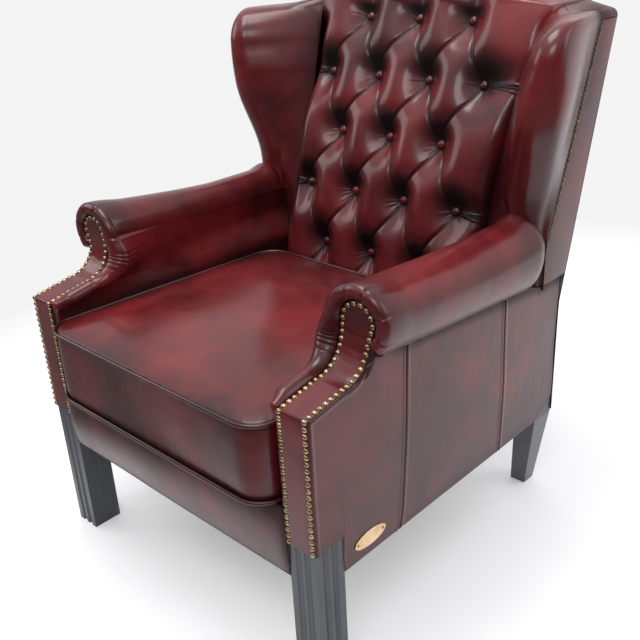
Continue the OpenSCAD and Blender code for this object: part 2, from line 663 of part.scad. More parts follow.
module inside_back() place() color(oxblood) {
    n = floor((tuft_half - skin) * cols_each / button_pitch);
    xs = concat([-tuft_half], [for (i = [-n : n]) i * button_pitch / cols_each], [tuft_half]);
    loft([for (x = xs) [for (p = back_loop(x)) [x, p[0], p[1]]]], flip = true);
}
module button() rotate_extrude($fn = 24) polygon(concat([[0, 0], [button_d / 2 - button_t / 4, 0]],
    [for (t = steps(4)) [button_d / 2 * cos(90 * t), button_t / 4 + 3 * button_t / 4 * sin(90 * t)]]));
button_rows = 5;
module back_buttons() place() color(deep_oxblood) for (r = [0 : button_rows - 1]) {
    s = r * row_pitch;
    a = tuft_rake + s / sweep_r * 180 / PI;
    for (x = r % 2 == 0 ? [-1, 0, 1] : [-1.5, -0.5, 0.5, 1.5]) {
        p = tuft_point(0, s, nip);
        translate([x * button_pitch, p[0], p[1]]) rotate([90 - a, 0, 0]) button();
    }
}

// The flat leather of the outside back
module outside_back() place() color(oxblood) {
    box([-half_w, back_y0 - skin, rail_z], [half_w, back_y0, back_kink_z]);
    half = tuft_half + wing_r;
    raked() along(-skin, 0) polygon(concat([[-half_w, -skin / 4], [half_w, -skin / 4],
        [half_w, up_lean(shoulder_z)], [half_w - wing_r, up_lean(wing_top - skin)]],
        [for (t = steps(16)) let (x = mid(half, -half, t)) [x, up_lean(top_z(x) - edge_drop)]],
        [[wing_r - half_w, up_lean(wing_top - skin)], [-half_w, up_lean(shoulder_z)]]));
}

// Seat

// The swelling panel under the cushion
module front_border() place() color(oxblood) across(nip - leg_in, leg_in - nip) {
    high = deck_top - 2 * clearance;
    polygon(concat([[rail_front, rail_z], [rail_front, high]],
        [for (t = steps(8)) [skin - (skin + swell) * sin(180 * t) , mid(high, rail_z, t)]]));
}

// Outline of the cushion, drawn in by d: points and the centres of its round corners
cushion_lean = atan((cushion_front_half - cushion_back_half) / (cushion_back + cushion_ahead));
function corner_x(y) = cushion_front_half - (y + cushion_ahead) * tan(cushion_lean)
    - corner_r / cos(cushion_lean);
corner_front = [corner_x(corner_r - cushion_ahead), corner_r - cushion_ahead];
corner_rear = [corner_x(cushion_back - corner_r), cushion_back - corner_r];
corner_steps = 5;
side_steps = 6;
function arc_points(c, r, a0, a1) = [for (t = steps(corner_steps)) let (a = mid(a0, a1, t))
    c + r * [cos(a), sin(a)]];
// A straight side between two points, pulled in by p at its middle
function side_points(a, b, p) = let (n = [a[1] - b[1], b[0] - a[0]] / norm(b - a))
    [for (i = [1 : side_steps - 1]) mid(a, b, i / side_steps) + n * p * sin(180 * i / side_steps)];
function cushion_ring(d, p) =
    let (r = corner_r - d, m = function (c) [-c[0], c[1]],
         one = arc_points(corner_front, r, -90, cushion_lean),
         two = arc_points(corner_rear, r, cushion_lean, 90),
         three = [for (q = back_to_front(two)) m(q)], four = [for (q = back_to_front(one)) m(q)])
    concat(one, side_points(one[corner_steps], two[0], p), two,
        side_points(two[corner_steps], three[0], p), three,
        side_points(three[corner_steps], four[0], p), four,
        side_points(four[corner_steps], one[0], p));
function raised(ring, z) = [for (q = ring) [q[0], q[1], z]];
cushion_mid = [0, (cushion_back - cushion_ahead) / 2];
under_crown = 3;
seam_in = piping_r + nip;
function shrunk(ring, k) = [for (q = ring) mid(cushion_mid, q, k)];
module seat_cushion() place() color(oxblood) {
    low = seat_z;
    high = seat_z + border_h;
    // Bowed out a little, so that no three of its points lie on one line
    bow = 0.4;
    face = cushion_ring(seam_in + bow, -bow);
    dome = [0.94, 0.84, 0.68, 0.48, 0.24];
    loft(concat([raised(shrunk(face, dome[3]), low - under_crown),
            raised(shrunk(face, dome[0]), low - under_crown / 2),
            raised(face, low), raised(face, low + piping_r + nip),
            raised(cushion_ring(1, draw_in / 2), low + 2 * piping_r)],
        [for (t = [1 : 3]) raised(cushion_ring(1, draw_in), mid(low, high, t / 4))],
        [raised(cushion_ring(1, draw_in / 2), high - 2 * piping_r),
            raised(face, high - piping_r - nip), raised(face, high)],
        [for (k = dome) raised(shrunk(face, k), high + crown * (1 - pow(k, 2.6)))]));
}

// Piping round the cushion: a tube swept along its outline
piping_sides = 8;
module piping(z) {
    ring = cushion_ring(0, 0);
    out = cushion_ring(-1, 0);
    n = len(ring);
    points = [for (i = [0 : n - 1], k = [0 : piping_sides - 1]) let (a = 360 * (k + 0.5) / piping_sides,
        p = ring[i] + (out[i] - ring[i]) * piping_r * cos(a)) [p[0], p[1], z + piping_r * sin(a)]];
    faces = [for (i = [0 : n - 1], k = [0 : piping_sides - 1])
        let (a = i * piping_sides, b = (i + 1) % n * piping_sides, m = (k + 1) % piping_sides)
        each [[a + k, a + m, b + m], [a + k, b + m, b + k]]];
    polyhedron(points = points, faces = faces, convexity = 8);
}
module piping_lower() place() color(deep_oxblood) piping(seat_z);
module piping_upper() place() color(deep_oxblood) piping(seat_z + border_h);

// The bare oval plate on the sitter's left, and its two pins
module oval_plate() place() color(brass) translate([half_w, plate_y, plate_z]) rotate([90, 0, 90])
    linear_extrude(plate_t)
        polygon([for (i = [0 : 35]) [plate_w / 2 * cos(10 * i), plate_h / 2 * sin(10 * i)]]);
module plate_pins() place() color(brass) for (s = [-1, 1])
    translate([half_w + plate_t, plate_y + s * (plate_w / 2 - 1.5 * pin_d), plate_z]) rotate([0, 90, 0])
        nail(pin_d, pin_h);

front_leg(1);  // front_leg_left
front_leg(-1);  // front_leg_right
rear_leg(1);  // rear_leg_left
rear_leg(-1);  // rear_leg_right
front_rail();
back_rail();
side_rail(1);  // side_rail_left
side_rail(-1);  // side_rail_right
corner_blocks();
corner_bolts();
arm_post(1);  // arm_post_left
arm_post(-1);  // arm_post_right
arm_rail(1);  // arm_rail_left
arm_rail(-1);  // arm_rail_right
arm_board(1);  // arm_board_left
arm_board(-1);  // arm_board_right
top_rail();
tack_rail();
wing_frame(1);  // wing_frame_left
wing_frame(-1);  // wing_frame_right
seat_webbing();
back_webbing();
seat_deck();
dust_cover();
arm_roll(1);  // arm_roll_left
arm_roll(-1);  // arm_roll_right
inside_arm(1);  // inside_arm_left
inside_arm(-1);  // inside_arm_right
outside_arm(1);  // outside_arm_left
outside_arm(-1);  // outside_arm_right
arm_facing(1);  // arm_facing_left
arm_facing(-1);  // arm_facing_right
facing_nails(1);  // facing_nails_left
facing_nails(-1);  // facing_nails_right
wing_nails(1);  // wing_nails_left
wing_nails(-1);  // wing_nails_right
outside_wing(1);  // outside_wing_left
outside_wing(-1);  // outside_wing_right
wing_pad(1);  // wing_pad_left
wing_pad(-1);  // wing_pad_right
inside_back();
back_buttons();
outside_back();
front_border();
seat_cushion();
piping_lower();
piping_upper();
oval_plate();
plate_pins();
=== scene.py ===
# %% [markdown]
# # A chesterfield wing chair
# The chair has a hardwood frame under padding and glossy, antiqued oxblood leather. The frame, the legs and
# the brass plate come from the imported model. Every padded or sewn piece is made here as leather skins over
# the same outlines. All points are written in millimetres, with y = 0 on the front plane of the arm facings,
# and one function moves them to the model's own frame in metres.

# %% Load the frame
import math
import bpy
import numpy as np
from mathutils import Matrix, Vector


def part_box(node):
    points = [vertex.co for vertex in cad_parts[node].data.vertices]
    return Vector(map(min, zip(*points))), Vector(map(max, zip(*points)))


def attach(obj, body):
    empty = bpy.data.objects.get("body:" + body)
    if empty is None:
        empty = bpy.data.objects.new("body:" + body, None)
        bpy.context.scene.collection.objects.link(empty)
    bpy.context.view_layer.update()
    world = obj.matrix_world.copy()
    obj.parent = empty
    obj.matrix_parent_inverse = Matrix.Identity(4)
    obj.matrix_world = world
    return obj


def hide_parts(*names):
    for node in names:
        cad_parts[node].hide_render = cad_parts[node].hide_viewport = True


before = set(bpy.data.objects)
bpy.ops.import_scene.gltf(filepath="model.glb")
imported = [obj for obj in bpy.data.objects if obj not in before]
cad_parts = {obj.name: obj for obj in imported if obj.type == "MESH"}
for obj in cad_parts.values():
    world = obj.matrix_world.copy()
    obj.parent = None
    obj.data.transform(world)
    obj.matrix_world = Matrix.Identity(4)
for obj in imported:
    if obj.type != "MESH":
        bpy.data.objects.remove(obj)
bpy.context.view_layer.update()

# %% [markdown]
# ## Sizes that several pieces share
# A real chair is cut from a set of patterns. These numbers are those patterns: the width over the legs, the
# sweep of the arm's front, the round scroll and the lean of the back. They could be measured on the solids,
# but a name says what each one is for, and pieces that meet use the same name.

# %% Shared sizes in millimetres
# Half the width over the panels, a panel's thickness, and how far the frame's zero lies behind the facings
HALF_W, SKIN, Y_MID = 362.0, 3.0, 410.72
# Inner side of a front leg, where the leather above it starts, and the foot of the rails
LEG_IN, LEG_SHOW, RAIL_Z = 301.0, 281.0, 213.0
# The facing's front corner, the end of its slope, and the radius of the sweep that follows
CORNER_Z, RAMP_Y, RAMP_Z, RAMP_R = 518.0, 79.0, 532.0, 60.0
# Middle of the scroll, the facing's round top, the arm roll, and the height of the inside arm's edge
SCROLL, SCROLL_R, ROLL_R, ARM_Z = (338.0, 139.0, 612.0), 34.0, 59.0, 560.0
# Front of a wing, its rounding, the top of its pad, and the top of the panels outside it
WING_Y, WING_R, WING_TOP, SHOULDER = 588.0, 34.0, 974.0, 958.0
# The outside back: its plane, where it bends, how far it leans, and the depth of the posts before it
BACK_Y0, KINK_Z, RAKE, POST_D = 697.0, 450.0, math.radians(15.3), 63.0
POST_Y = BACK_Y0 - POST_D
# The buttoned back: half its width, the foot of its curved base, the base's radius and its lean there
TUFT_HALF, TUFT_Y, TUFT_Z, SWEEP_R, LEAN0 = 236.0, 569.0, 512.0, 1649.0, math.radians(12.5)
# The top: its height, the drop of its arch, where the leather turns over, and its two steps to the wing
BACK_TOP, ARCH, TURN_OVER, STEPS = 1045.0, 30.0, 14.0, (TUFT_HALF, 270.0, 328.0)
PANEL_TOP = BACK_TOP - TURN_OVER
SIDES = (("left", 1), ("right", -1))


def mid(a, b, t):
    """The place at a share t of the way from a to b."""
    return a + (b - a) * t


def ease(t):
    """A soft step from 0 to 1."""
    t = np.clip(t, 0, 1)
    return t * t * (3 - 2 * t)


def bump(t, wide):
    """A soft hill of height 1 round t = 0."""
    return np.exp(-(t / wide) ** 2)


def hill(t):
    """Half a wave: 0 at both ends of 0..1 and 1 between them."""
    return math.sin(math.pi * min(1, max(0, t)))


def polar(a):
    """The direction at an angle."""
    return np.stack([np.cos(a), np.sin(a)], -1)


WAVES = {}


def ripple(u, v, seed):
    """A smooth, slow unevenness between about -1 and 1, the same on every run."""
    if seed not in WAVES:
        pick = np.random.default_rng(seed)
        WAVES[seed] = [(*pick.normal(size=2), pick.uniform(0, 6.28)) for _ in range(7)]
    return sum(np.sin(a * u + b * v + c) for a, b, c in WAVES[seed]) / 7 ** 0.5 / 1.4


def back_y(z):
    """The outside back, seen from the side."""
    return BACK_Y0 + np.maximum(0, z - KINK_Z) * math.tan(RAKE)


def panel_y(z):
    """The front of the outside back's leather."""
    return back_y(z) - SKIN / math.cos(RAKE) - 0.1


def post_y(z):
    """The front of the rear posts."""
    return back_y(z) - POST_D


def top_z(x):
    """The top of the back: an arch, then two steps down to the wing."""
    arch = BACK_TOP - ARCH * (np.minimum(np.abs(x), TUFT_HALF) / TUFT_HALF) ** 2
    return arch - np.interp(np.abs(x), STEPS, (0, 13, 40))


print("width over the panels", 2 * HALF_W, "height at the middle of the back", float(top_z(0)))


# %% [markdown]
# ## From points to leather
# A leather skin is a grid of points: rows along the piece, columns across it. The helper turns such a grid
# into a mesh, closes it where it goes all the way round, and makes its faces point away from a place inside
# the chair. Numbers kept on the points, such as how much painted shade one gets, are there for the finish.

# %% Skins
def to_row(points):
    """Millimetres behind the facings to metres in the model's frame."""
    points = np.asarray(points, float).reshape(-1, 3)
    return (points - [0, Y_MID, 0]) / 1000


def new_object(name, data):
    obj = bpy.data.objects.new(name, data)
    bpy.context.scene.collection.objects.link(obj)
    return obj


def blank(rows, cols):
    """A grid of points to fill in, and the painted shade of each point."""
    return np.zeros((len(rows), len(cols), 3)), np.zeros((len(rows), len(cols)))


def skin(name, grid, finish, inside=None, loop=False, ends=False, **marks):
    """A smooth mesh over a grid of points, facing away from `inside`. Each mark is a number per point."""
    grid = np.asarray(grid, float)
    rows, cols = grid.shape[:2]
    points = grid.reshape(-1, 3)
    i = np.arange(rows - 1)[:, None] * cols
    j = np.arange(cols if loop else cols - 1)[None, :]
    k = (j + 1) % cols
    quads = np.stack([i + j, i + k, i + cols + k, i + cols + j], -1).reshape(-1, 4)
    faces = quads.tolist()
    p = points[quads]
    normal = np.cross(p[:, 2] - p[:, 0], p[:, 3] - p[:, 1])
    middle = p.mean(1)
    flip = (normal * (middle - (middle.mean(0) if inside is None else inside))).sum() < 0
    if ends:
        for row, turn in ((0, -1), (rows - 1, 1)):
            ring = (row * cols + np.arange(cols)).tolist()
            centre = len(points)
            points = np.vstack([points, points[ring].mean(0)])
            marks = {key: np.append(np.ravel(v), np.ravel(v)[ring].mean()) for key, v in marks.items()}
            faces += [[*(a, b)[::turn], centre] for a, b in zip(ring, ring[1:] + ring[:1])]
    if flip:
        faces = [f[::-1] for f in faces]
    mesh = bpy.data.meshes.new(name)
    mesh.from_pydata(to_row(points).tolist(), [], faces)
    mesh.polygons.foreach_set("use_smooth", np.ones(len(faces), bool))
    for key, values in marks.items():
        layer = mesh.attributes.new(key, "FLOAT", "POINT")
        layer.data.foreach_set("value", np.ravel(values).astype(np.float32))
    mesh.materials.append(finish)
    mesh.update()
    print(name, len(points), "points")
    return new_object(name, mesh)


def belongs(obj, body, nodes):
    """The piece rides on its body and stands for its nodes, which are hidden."""
    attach(obj, body)
    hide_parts(*nodes)


def both_sides(make):
    """The piece of the sitter's left and that of the right, which is its mirror but for small unevenness."""
    for name, side in SIDES:
        make(name, side)

# %% [markdown]
# ## Finishes
# The leather is a deep red. Its raised parts are lighter, partly as rubbed wear and partly as a painted
# highlight, and its hollows get painted shade that makes them nearly black. A thin clear coat gives the soft
# reflections of the room. The colour comes from two noises and from the painted shade and the wear and
# painted highlight that each point carries. A painted picture could do the same for one view, but the noises
# fit every piece at the right scale. The grain is a fine bump, and a slower bump makes the reflections
# uneven.

# %% Node helpers
def new_material(name):
    """A material, its tree, its shader and the place on the piece that its patterns follow."""
    mat = bpy.data.materials.new(name)
    mat.use_nodes = True
    tree = mat.node_tree
    return mat, tree, tree.nodes["Principled BSDF"], tree.nodes.new("ShaderNodeTexCoord").outputs["Object"]


def add(tree, kind, **values):
    """A new node with its settings and its sockets filled in."""
    node = tree.nodes.new(kind)
    for key, value in values.items():
        if hasattr(node, key) and key not in node.inputs:
            setattr(node, key, value)
        else:
            node.inputs[key].default_value = value
    return node


def feed(tree, socket, value):
    """A number or colour is set on the socket itself, and anything else is linked to it."""
    if isinstance(value, tuple):
        socket.default_value = (*value, 1)
    elif isinstance(value, (int, float)):
        socket.default_value = value
    else:
        tree.links.new(value, socket)


def dress(tree, shader, **values):
    """Several sockets of a shader at once, named with _ for each space."""
    for key, value in values.items():
        feed(tree, shader.inputs[key.replace("_", " ")], value)


def ramp(tree, source, stops):
    """A number turned into a colour, by stops of place and colour."""
    node = tree.nodes.new("ShaderNodeValToRGB")
    while len(node.color_ramp.elements) < len(stops):
        node.color_ramp.elements.new(0.5)
    for element, (place, colour) in zip(node.color_ramp.elements, stops):
        element.position = place
        element.color = (*colour, 1)
    tree.links.new(source, node.inputs["Fac"])
    return node.outputs["Color"]


def noise(tree, coords, scale, detail=4.0, rough=0.55, warp=0.0):
    """Clouds of the given number per metre."""
    node = add(tree, "ShaderNodeTexNoise", Scale=scale, Detail=detail, Roughness=rough, Distortion=warp)
    tree.links.new(coords, node.inputs["Vector"])
    return node.outputs["Fac"]


def on_points(tree, name):
    """A number that the skin keeps on its points."""
    return add(tree, "ShaderNodeAttribute", attribute_name=name, attribute_type="GEOMETRY").outputs["Fac"]


def blend_colour(tree, share, a, b):
    """From colour a to colour b as the share goes from 0 to 1."""
    node = add(tree, "ShaderNodeMix", data_type="RGBA")
    colours = [s for s in node.inputs if s.type == "RGBA"]
    for socket, value in zip([node.inputs["Factor"], *colours], (share, a, b)):
        feed(tree, socket, value)
    return [s for s in node.outputs if s.type == "RGBA"][0]


def number(tree, how, a, b):
    """A sum, product or the like of two numbers or sockets."""
    node = add(tree, "ShaderNodeMath", operation=how)
    for socket, value in zip(node.inputs, (a, b)):
        feed(tree, socket, value)
    return node.outputs[0]


def graded(tree, start, value, by):
    """start + value * by"""
    return number(tree, "ADD", start, number(tree, "MULTIPLY", value, by))


def held(tree, value, top=1.0):
    """The value kept between 0 and a top."""
    return number(tree, "MINIMUM", number(tree, "MAXIMUM", value, 0.0), top)


def relief(tree, shader, height, strength, distance):
    """A bump on top of what the shader's normal already has."""
    node, normal = add(tree, "ShaderNodeBump", Strength=strength, Distance=distance), shader.inputs["Normal"]
    tree.links.new(height, node.inputs["Height"])
    if normal.is_linked:
        tree.links.new(normal.links[0].from_socket, node.inputs["Normal"])
    tree.links.new(node.outputs["Normal"], normal)


# %% Leather
# The first colour is the near-black painted shade of the hollows
PAINTED_SHADE_COLOUR, GRAIN, GRAIN_HEIGHT = (0.005, 0.0012, 0.0016), 0.09, 0.0006


def leather_finish(name, *colours):
    mat, tree, shader, place = new_material(name)
    broad = noise(tree, place, 6.5, 3.0, 0.55, 0.3)
    small = noise(tree, place, 30.0, 3.0, 0.5)
    mixed = number(tree, "ADD", number(tree, "MULTIPLY", broad, 0.80), number(tree, "MULTIPLY", small, 0.20))
    hollow, worn = on_points(tree, "hollow"), on_points(tree, "worn")
    base = ramp(tree, graded(tree, mixed, worn, 0.16), list(zip((0.30, 0.44, 0.58, 0.78), colours)))
    edge = number(tree, "MULTIPLY", hollow, graded(tree, 0.80, small, 0.4))
    # Painted shade turns the base colour near black in hollows and creases; wear and painted highlight
    # lighten the raised parts
    dress(tree, shader, Specular_IOR_Level=0.22, Coat_Roughness=0.17,
          Base_Color=blend_colour(tree, number(tree, "MINIMUM", edge, 0.97), base, PAINTED_SHADE_COLOUR),
          Roughness=graded(tree, graded(tree, 0.28, small, 0.16), hollow, 0.25),
          Coat_Weight=number(tree, "SUBTRACT", 0.55, number(tree, "MULTIPLY", hollow, 0.5)))
    cells = add(tree, "ShaderNodeTexVoronoi", Scale=620.0, feature="F1")
    tree.links.new(place, cells.inputs["Vector"])
    relief(tree, shader, noise(tree, place, 34.0, 2.0, 0.45), 0.16, 0.004)
    relief(tree, shader, graded(tree, cells.outputs["Distance"], noise(tree, place, 1400.0, 2.0), 0.5),
           GRAIN, GRAIN_HEIGHT)
    print(name, len(tree.nodes), "nodes")
    return mat


LEATHER = leather_finish("oxblood_leather", (0.022, 0.0022, 0.0032), (0.052, 0.0036, 0.0054),
                         (0.098, 0.0062, 0.0082), (0.170, 0.0125, 0.0145))
DARK_LEATHER = leather_finish("deep_oxblood_leather", (0.012, 0.002, 0.003), (0.030, 0.004, 0.005),
                              (0.060, 0.006, 0.008), (0.110, 0.014, 0.016))


# %% [markdown]
# ## Brass, wood, webbing and cloth
# The nails and the plate are old brass: bright on the domes and brown where polish doesn't reach. The legs
# are black-stained wood with a soft blue-grey sheen. Wood, webbing, steel and cloth inside the chair are
# plain. The metals differ in colour, in the size of their spots and in polish, so one recipe makes all four.

# %% Other finishes
def metal_finish(name, scale, colours, stops=(0.30, 0.50, 0.72), clouds=(4.0, 0.6), polish=(0.16, 0.28),
                 fine=0.12):
    """Spots of a scale, detail and roughness set the colour and the polish. `fine` is a small bump."""
    mat, tree, shader, place = new_material(name)
    spots = noise(tree, place, scale, *clouds)
    dress(tree, shader, Base_Color=ramp(tree, spots, list(zip(stops, colours))),
          Roughness=graded(tree, polish[0], spots, polish[1]), Metallic=1.0)
    if fine:
        relief(tree, shader, noise(tree, place, scale * 4, 3.0), fine, 0.0004)
    return mat


def wood_finish(name, dark, light, rough, grain, coat=0.0):
    mat, tree, shader, place = new_material(name)
    turn = tree.nodes.new("ShaderNodeMapping")
    turn.inputs["Scale"].default_value = (60.0, 60.0, 4.0)
    tree.links.new(place, turn.inputs["Vector"])
    streaks = noise(tree, turn.outputs["Vector"], 3.0, 6.0, 0.6, 0.6)
    dress(tree, shader, Base_Color=ramp(tree, streaks, [(0.32, dark), (0.70, light)]),
          Roughness=graded(tree, rough, streaks, 0.16), Coat_Weight=coat, Coat_Roughness=0.3)
    relief(tree, shader, streaks, grain, 0.0005)
    return mat


def woven_finish(name, dark, light, scale):
    mat, tree, shader, place = new_material(name)
    weave = []
    for axis in ("X", "Y"):
        wave = add(tree, "ShaderNodeTexWave", Scale=scale, Distortion=0.4, bands_direction=axis)
        tree.links.new(place, wave.inputs["Vector"])
        weave.append(wave.outputs["Fac"])
    cloth = number(tree, "MULTIPLY", *weave)
    dress(tree, shader, Base_Color=ramp(tree, cloth, [(0.1, dark), (0.8, light)]), Roughness=0.85)
    relief(tree, shader, cloth, 0.35, 0.0006)
    return mat


NAIL_BRASS = metal_finish("old_brass", 160.0, ((0.12, 0.08, 0.04), (0.42, 0.31, 0.16), (0.72, 0.60, 0.40)))
SMALL_BRASS = metal_finish("dull_brass", 200.0, ((0.05, 0.03, 0.015), (0.17, 0.12, 0.06), (0.36, 0.28, 0.16)))
PLATE_BRASS = metal_finish("plate_brass", 45.0, ((0.55, 0.36, 0.19), (0.72, 0.50, 0.29), (0.84, 0.65, 0.42)))
BLACK_WOOD = wood_finish("black_stained_wood", (0.018, 0.020, 0.026), (0.052, 0.056, 0.070), 0.30, 0.25, 0.25)
PALE_WOOD = wood_finish("pale_wood", (0.42, 0.27, 0.13), (0.66, 0.47, 0.27), 0.55, 0.3)
WEBBING = woven_finish("tan_webbing", (0.20, 0.13, 0.06), (0.46, 0.34, 0.19), 260.0)
BLACK_CLOTH = woven_finish("black_cloth", (0.008, 0.008, 0.008), (0.035, 0.034, 0.034), 320.0)
STEEL = metal_finish("zinc_steel", 90.0, ((0.42, 0.43, 0.45), (0.62, 0.63, 0.66)), (0.3, 0.7), (3.0, 0.55),
                     (0.2, 0.3), 0.0)
print("materials:", len(bpy.data.materials))

# %% [markdown]
# ## Camera
# The photograph looks down on the chair from its front left. Its camera was worked out from lines that are
# square to each other on the chair, so the same camera shows the model as the photograph shows the chair. A
# camera set by eye would come near, but then no edge could be compared with the photograph.

# %% Camera
CAMERA_AT, LENS = (1.0886, -1.1134, 1.1460), 48.52
YAW, DOWN, TILT = math.radians(44.5), math.radians(25.0853), math.radians(-3.1653)


def set_at(obj, x, y, z, place):
    """Put an object at a place, with its own axes along x, y and z."""
    obj.matrix_world = Matrix([*zip(x, y, z, place), (0, 0, 0, 1)])


def photo_camera():
    ahead = np.array([-math.sin(YAW) * math.cos(DOWN), math.cos(YAW) * math.cos(DOWN), -math.sin(DOWN)])
    level = np.array([math.cos(YAW), math.sin(YAW), 0.0])
    upright = np.cross(level, ahead)
    right = math.cos(TILT) * level + math.sin(TILT) * upright
    up = -math.sin(TILT) * level + math.cos(TILT) * upright
    camera = new_object("camera", bpy.data.cameras.new("camera"))
    camera.data.lens, camera.data.sensor_width, camera.data.clip_start = LENS, 36.0, 0.02
    set_at(camera, right, up, -ahead, CAMERA_AT)
    bpy.context.scene.camera = camera
    print("camera at", CAMERA_AT, "lens", LENS)


photo_camera()

# %% [markdown]
# ## The deep-buttoned back
# Buttons are pulled through the padding on a diamond pattern. The leather between them rises in long pillows,
# and its fullness folds into thin pleats on the diagonals. A cloth simulation could fold it, but it wouldn't
# put each pleat where the chair has one. So the back is one height over its curved base: wells round the
# buttons, shallow creases between them and small pleats that fan out below each button. Beside the wings it
# turns down into the crevice, and at the top it rolls over to the outside back.

# %% Where the buttons are
PITCH, ROW = 125.08, 118.0  # from button to button, and from row to row
OUTER = 1.5 * PITCH  # the outermost buttons
WIDE_ROW, NARROW_ROW = (-1.5, -0.5, 0.5, 1.5), (-1, 0, 1)
BUTTONS = [(x * PITCH, r * ROW) for r in range(5) for x in (WIDE_ROW if r % 2 else NARROW_ROW)]
HIDDEN = [(x * PITCH, -ROW) for x in WIDE_ROW]  # behind the cushion
LOW_S, HIGH_S = -157, 492  # the foot and the last row of the front, measured up the base
print("buttons:", len(BUTTONS))


# %% Height of the pillows
TUFT_H, CREASE = 38.0, 2.2  # of a pillow over the base, and of the creases between them
WELL_R, WELL_LONG = 31.0, 48.0  # a well's radius, and its longer reach below the button
NEAR_SIDE_DOWN, FAR_SIDE_DOWN = -26, -7  # where the leather ends in the crevice beside each wing


def gap(v):
    """How far a number is from the nearest whole one."""
    return np.abs(v - np.round(v))


def spread(x, s):
    """Where the outer pillow on the left swells out against the wing."""
    reach = 38 * ease((s - 40) / 60) + 28 * ease((s - 300) / 120)
    return x + reach * ease((x - 187.6) / 48.4)


def pleats(dx, ds, far, pick):
    """Nine thin pleats that fan out below a button. Each is drawn a little differently."""
    fans = np.zeros(dx.shape)
    turn = np.arctan2(ds, dx)
    for a in np.linspace(-2.95, -0.2, 9) + pick.uniform(-0.12, 0.12, 9):
        long = pick.uniform(24, 42)
        thin = np.abs((turn - a + math.pi) % (2 * math.pi) - math.pi) * far
        fans += pick.uniform(0.5, 1.0) * bump(thin, 1.5) * ease((far - 9) / 5) * ease((long - far) / 20)
    return fans


def side_pleats(beyond, ds):
    """Three pleats that run from an outermost button to the wing."""
    reach = ease((beyond - 8) / 8) * ease((64 - beyond) / 30)
    return sum(1.3 * bump(ds - rise * beyond, 1.9) * reach for rise in (-0.30, -0.10, 0.07))


def diamonds(x, s):
    """The crease on the diagonals between buttons, and how far the pillows swell."""
    across, level = np.clip(x, -OUTER, OUTER) / PITCH, np.minimum(s / ROW, 4.0)
    bow = 0.035 * np.sin(2 * math.pi * level)
    p, q = across + level / 2 + bow, across - level / 2 + bow
    down = 1 - (level - np.floor(level))
    fading = mid(1.0, 0.35, ease((down - 0.45) / 0.5))
    crease = np.maximum(bump(gap(p) * 58, 1.5), bump(gap(q) * 58, 1.5)) * fading
    return crease, np.abs(np.sin(math.pi * p) * np.sin(math.pi * q)) ** 0.5


def turn_down(x, s):
    """How far the back has turned down into the crevice beside the wing, from 0 to 1."""
    reach = mid(18, 38, ease((s - 130) / 150)) * ease((s - 40) / 60) + 27 * ease((s - 300) / 120)
    last = TUFT_HALF + np.where(x > 0, reach, -9)
    return np.clip((np.abs(spread(x, s)) - last + 30) / 30, 0, 1) * (1 - 0.8 * ease((s - 440) / 52))


def pillows(x, s):
    """Height over the base and painted shade at a place across (x) and up (s) the back."""
    well, dark, fans, near = np.ones(x.shape), np.zeros(x.shape), np.zeros(x.shape), np.full(x.shape, 1e9)
    for n, (bx, bs) in enumerate(BUTTONS + HIDDEN):
        dx, ds = x - bx, s - bs
        far = np.hypot(dx, ds)
        tall = mid(WELL_LONG, WELL_R, 0.5 + 0.5 * np.tanh(ds / 14))
        well = well * (1 - np.exp(-np.hypot(dx / WELL_R, ds / tall) ** 1.7))
        # Painted shade in a pocket just above each button, where the pillow above hangs over it
        dark = np.maximum(dark, bump(np.hypot(dx / 27.0, (ds - 22) / 29.0), 1.0))
        near = np.minimum(near, far)
        fans += pleats(dx, ds, far, np.random.default_rng(40 + n))
        if abs(bx) > 1.4 * PITCH:
            fans += side_pleats(np.abs(x) - abs(bx), ds)
    crease, swell = diamonds(x, s)
    height = TUFT_H * well * (0.74 + 0.26 * swell) - CREASE * crease * well ** 0.6
    height = height + 1.2 * fans * ease((near - 9) / 4) + 1.0 * ripple(x / 40, s / 40, 5) * well
    side = turn_down(x, s)
    height = mid(height, np.where(x > 0, NEAR_SIDE_DOWN, FAR_SIDE_DOWN), 1 - np.sqrt(1 - side ** 2))
    height = height * ease((s - LOW_S) / 60)
    # Painted shade in the pockets, the creases and round each button
    hollow = 1.3 * dark + 0.7 * crease + 0.9 * bump(near, 11)
    # Painted shade in the crevice beside each wing, strongest on the near side
    hollow = np.maximum(hollow, np.where(x > 0, 1.0, 0.3) * ease((side - 0.6) / 0.4))
    return height, np.clip(hollow, 0, 1)


def on_back(x, s, h):
    """The point at a height h over the curved base."""
    a = LEAN0 + s / SWEEP_R
    return np.stack([spread(x, s) + 0 * a, TUFT_Y + SWEEP_R * (math.cos(LEAN0) - np.cos(a)) - h * np.cos(a),
                     TUFT_Z + SWEEP_R * (np.sin(a) - math.sin(LEAN0)) + h * np.sin(a)], -1)


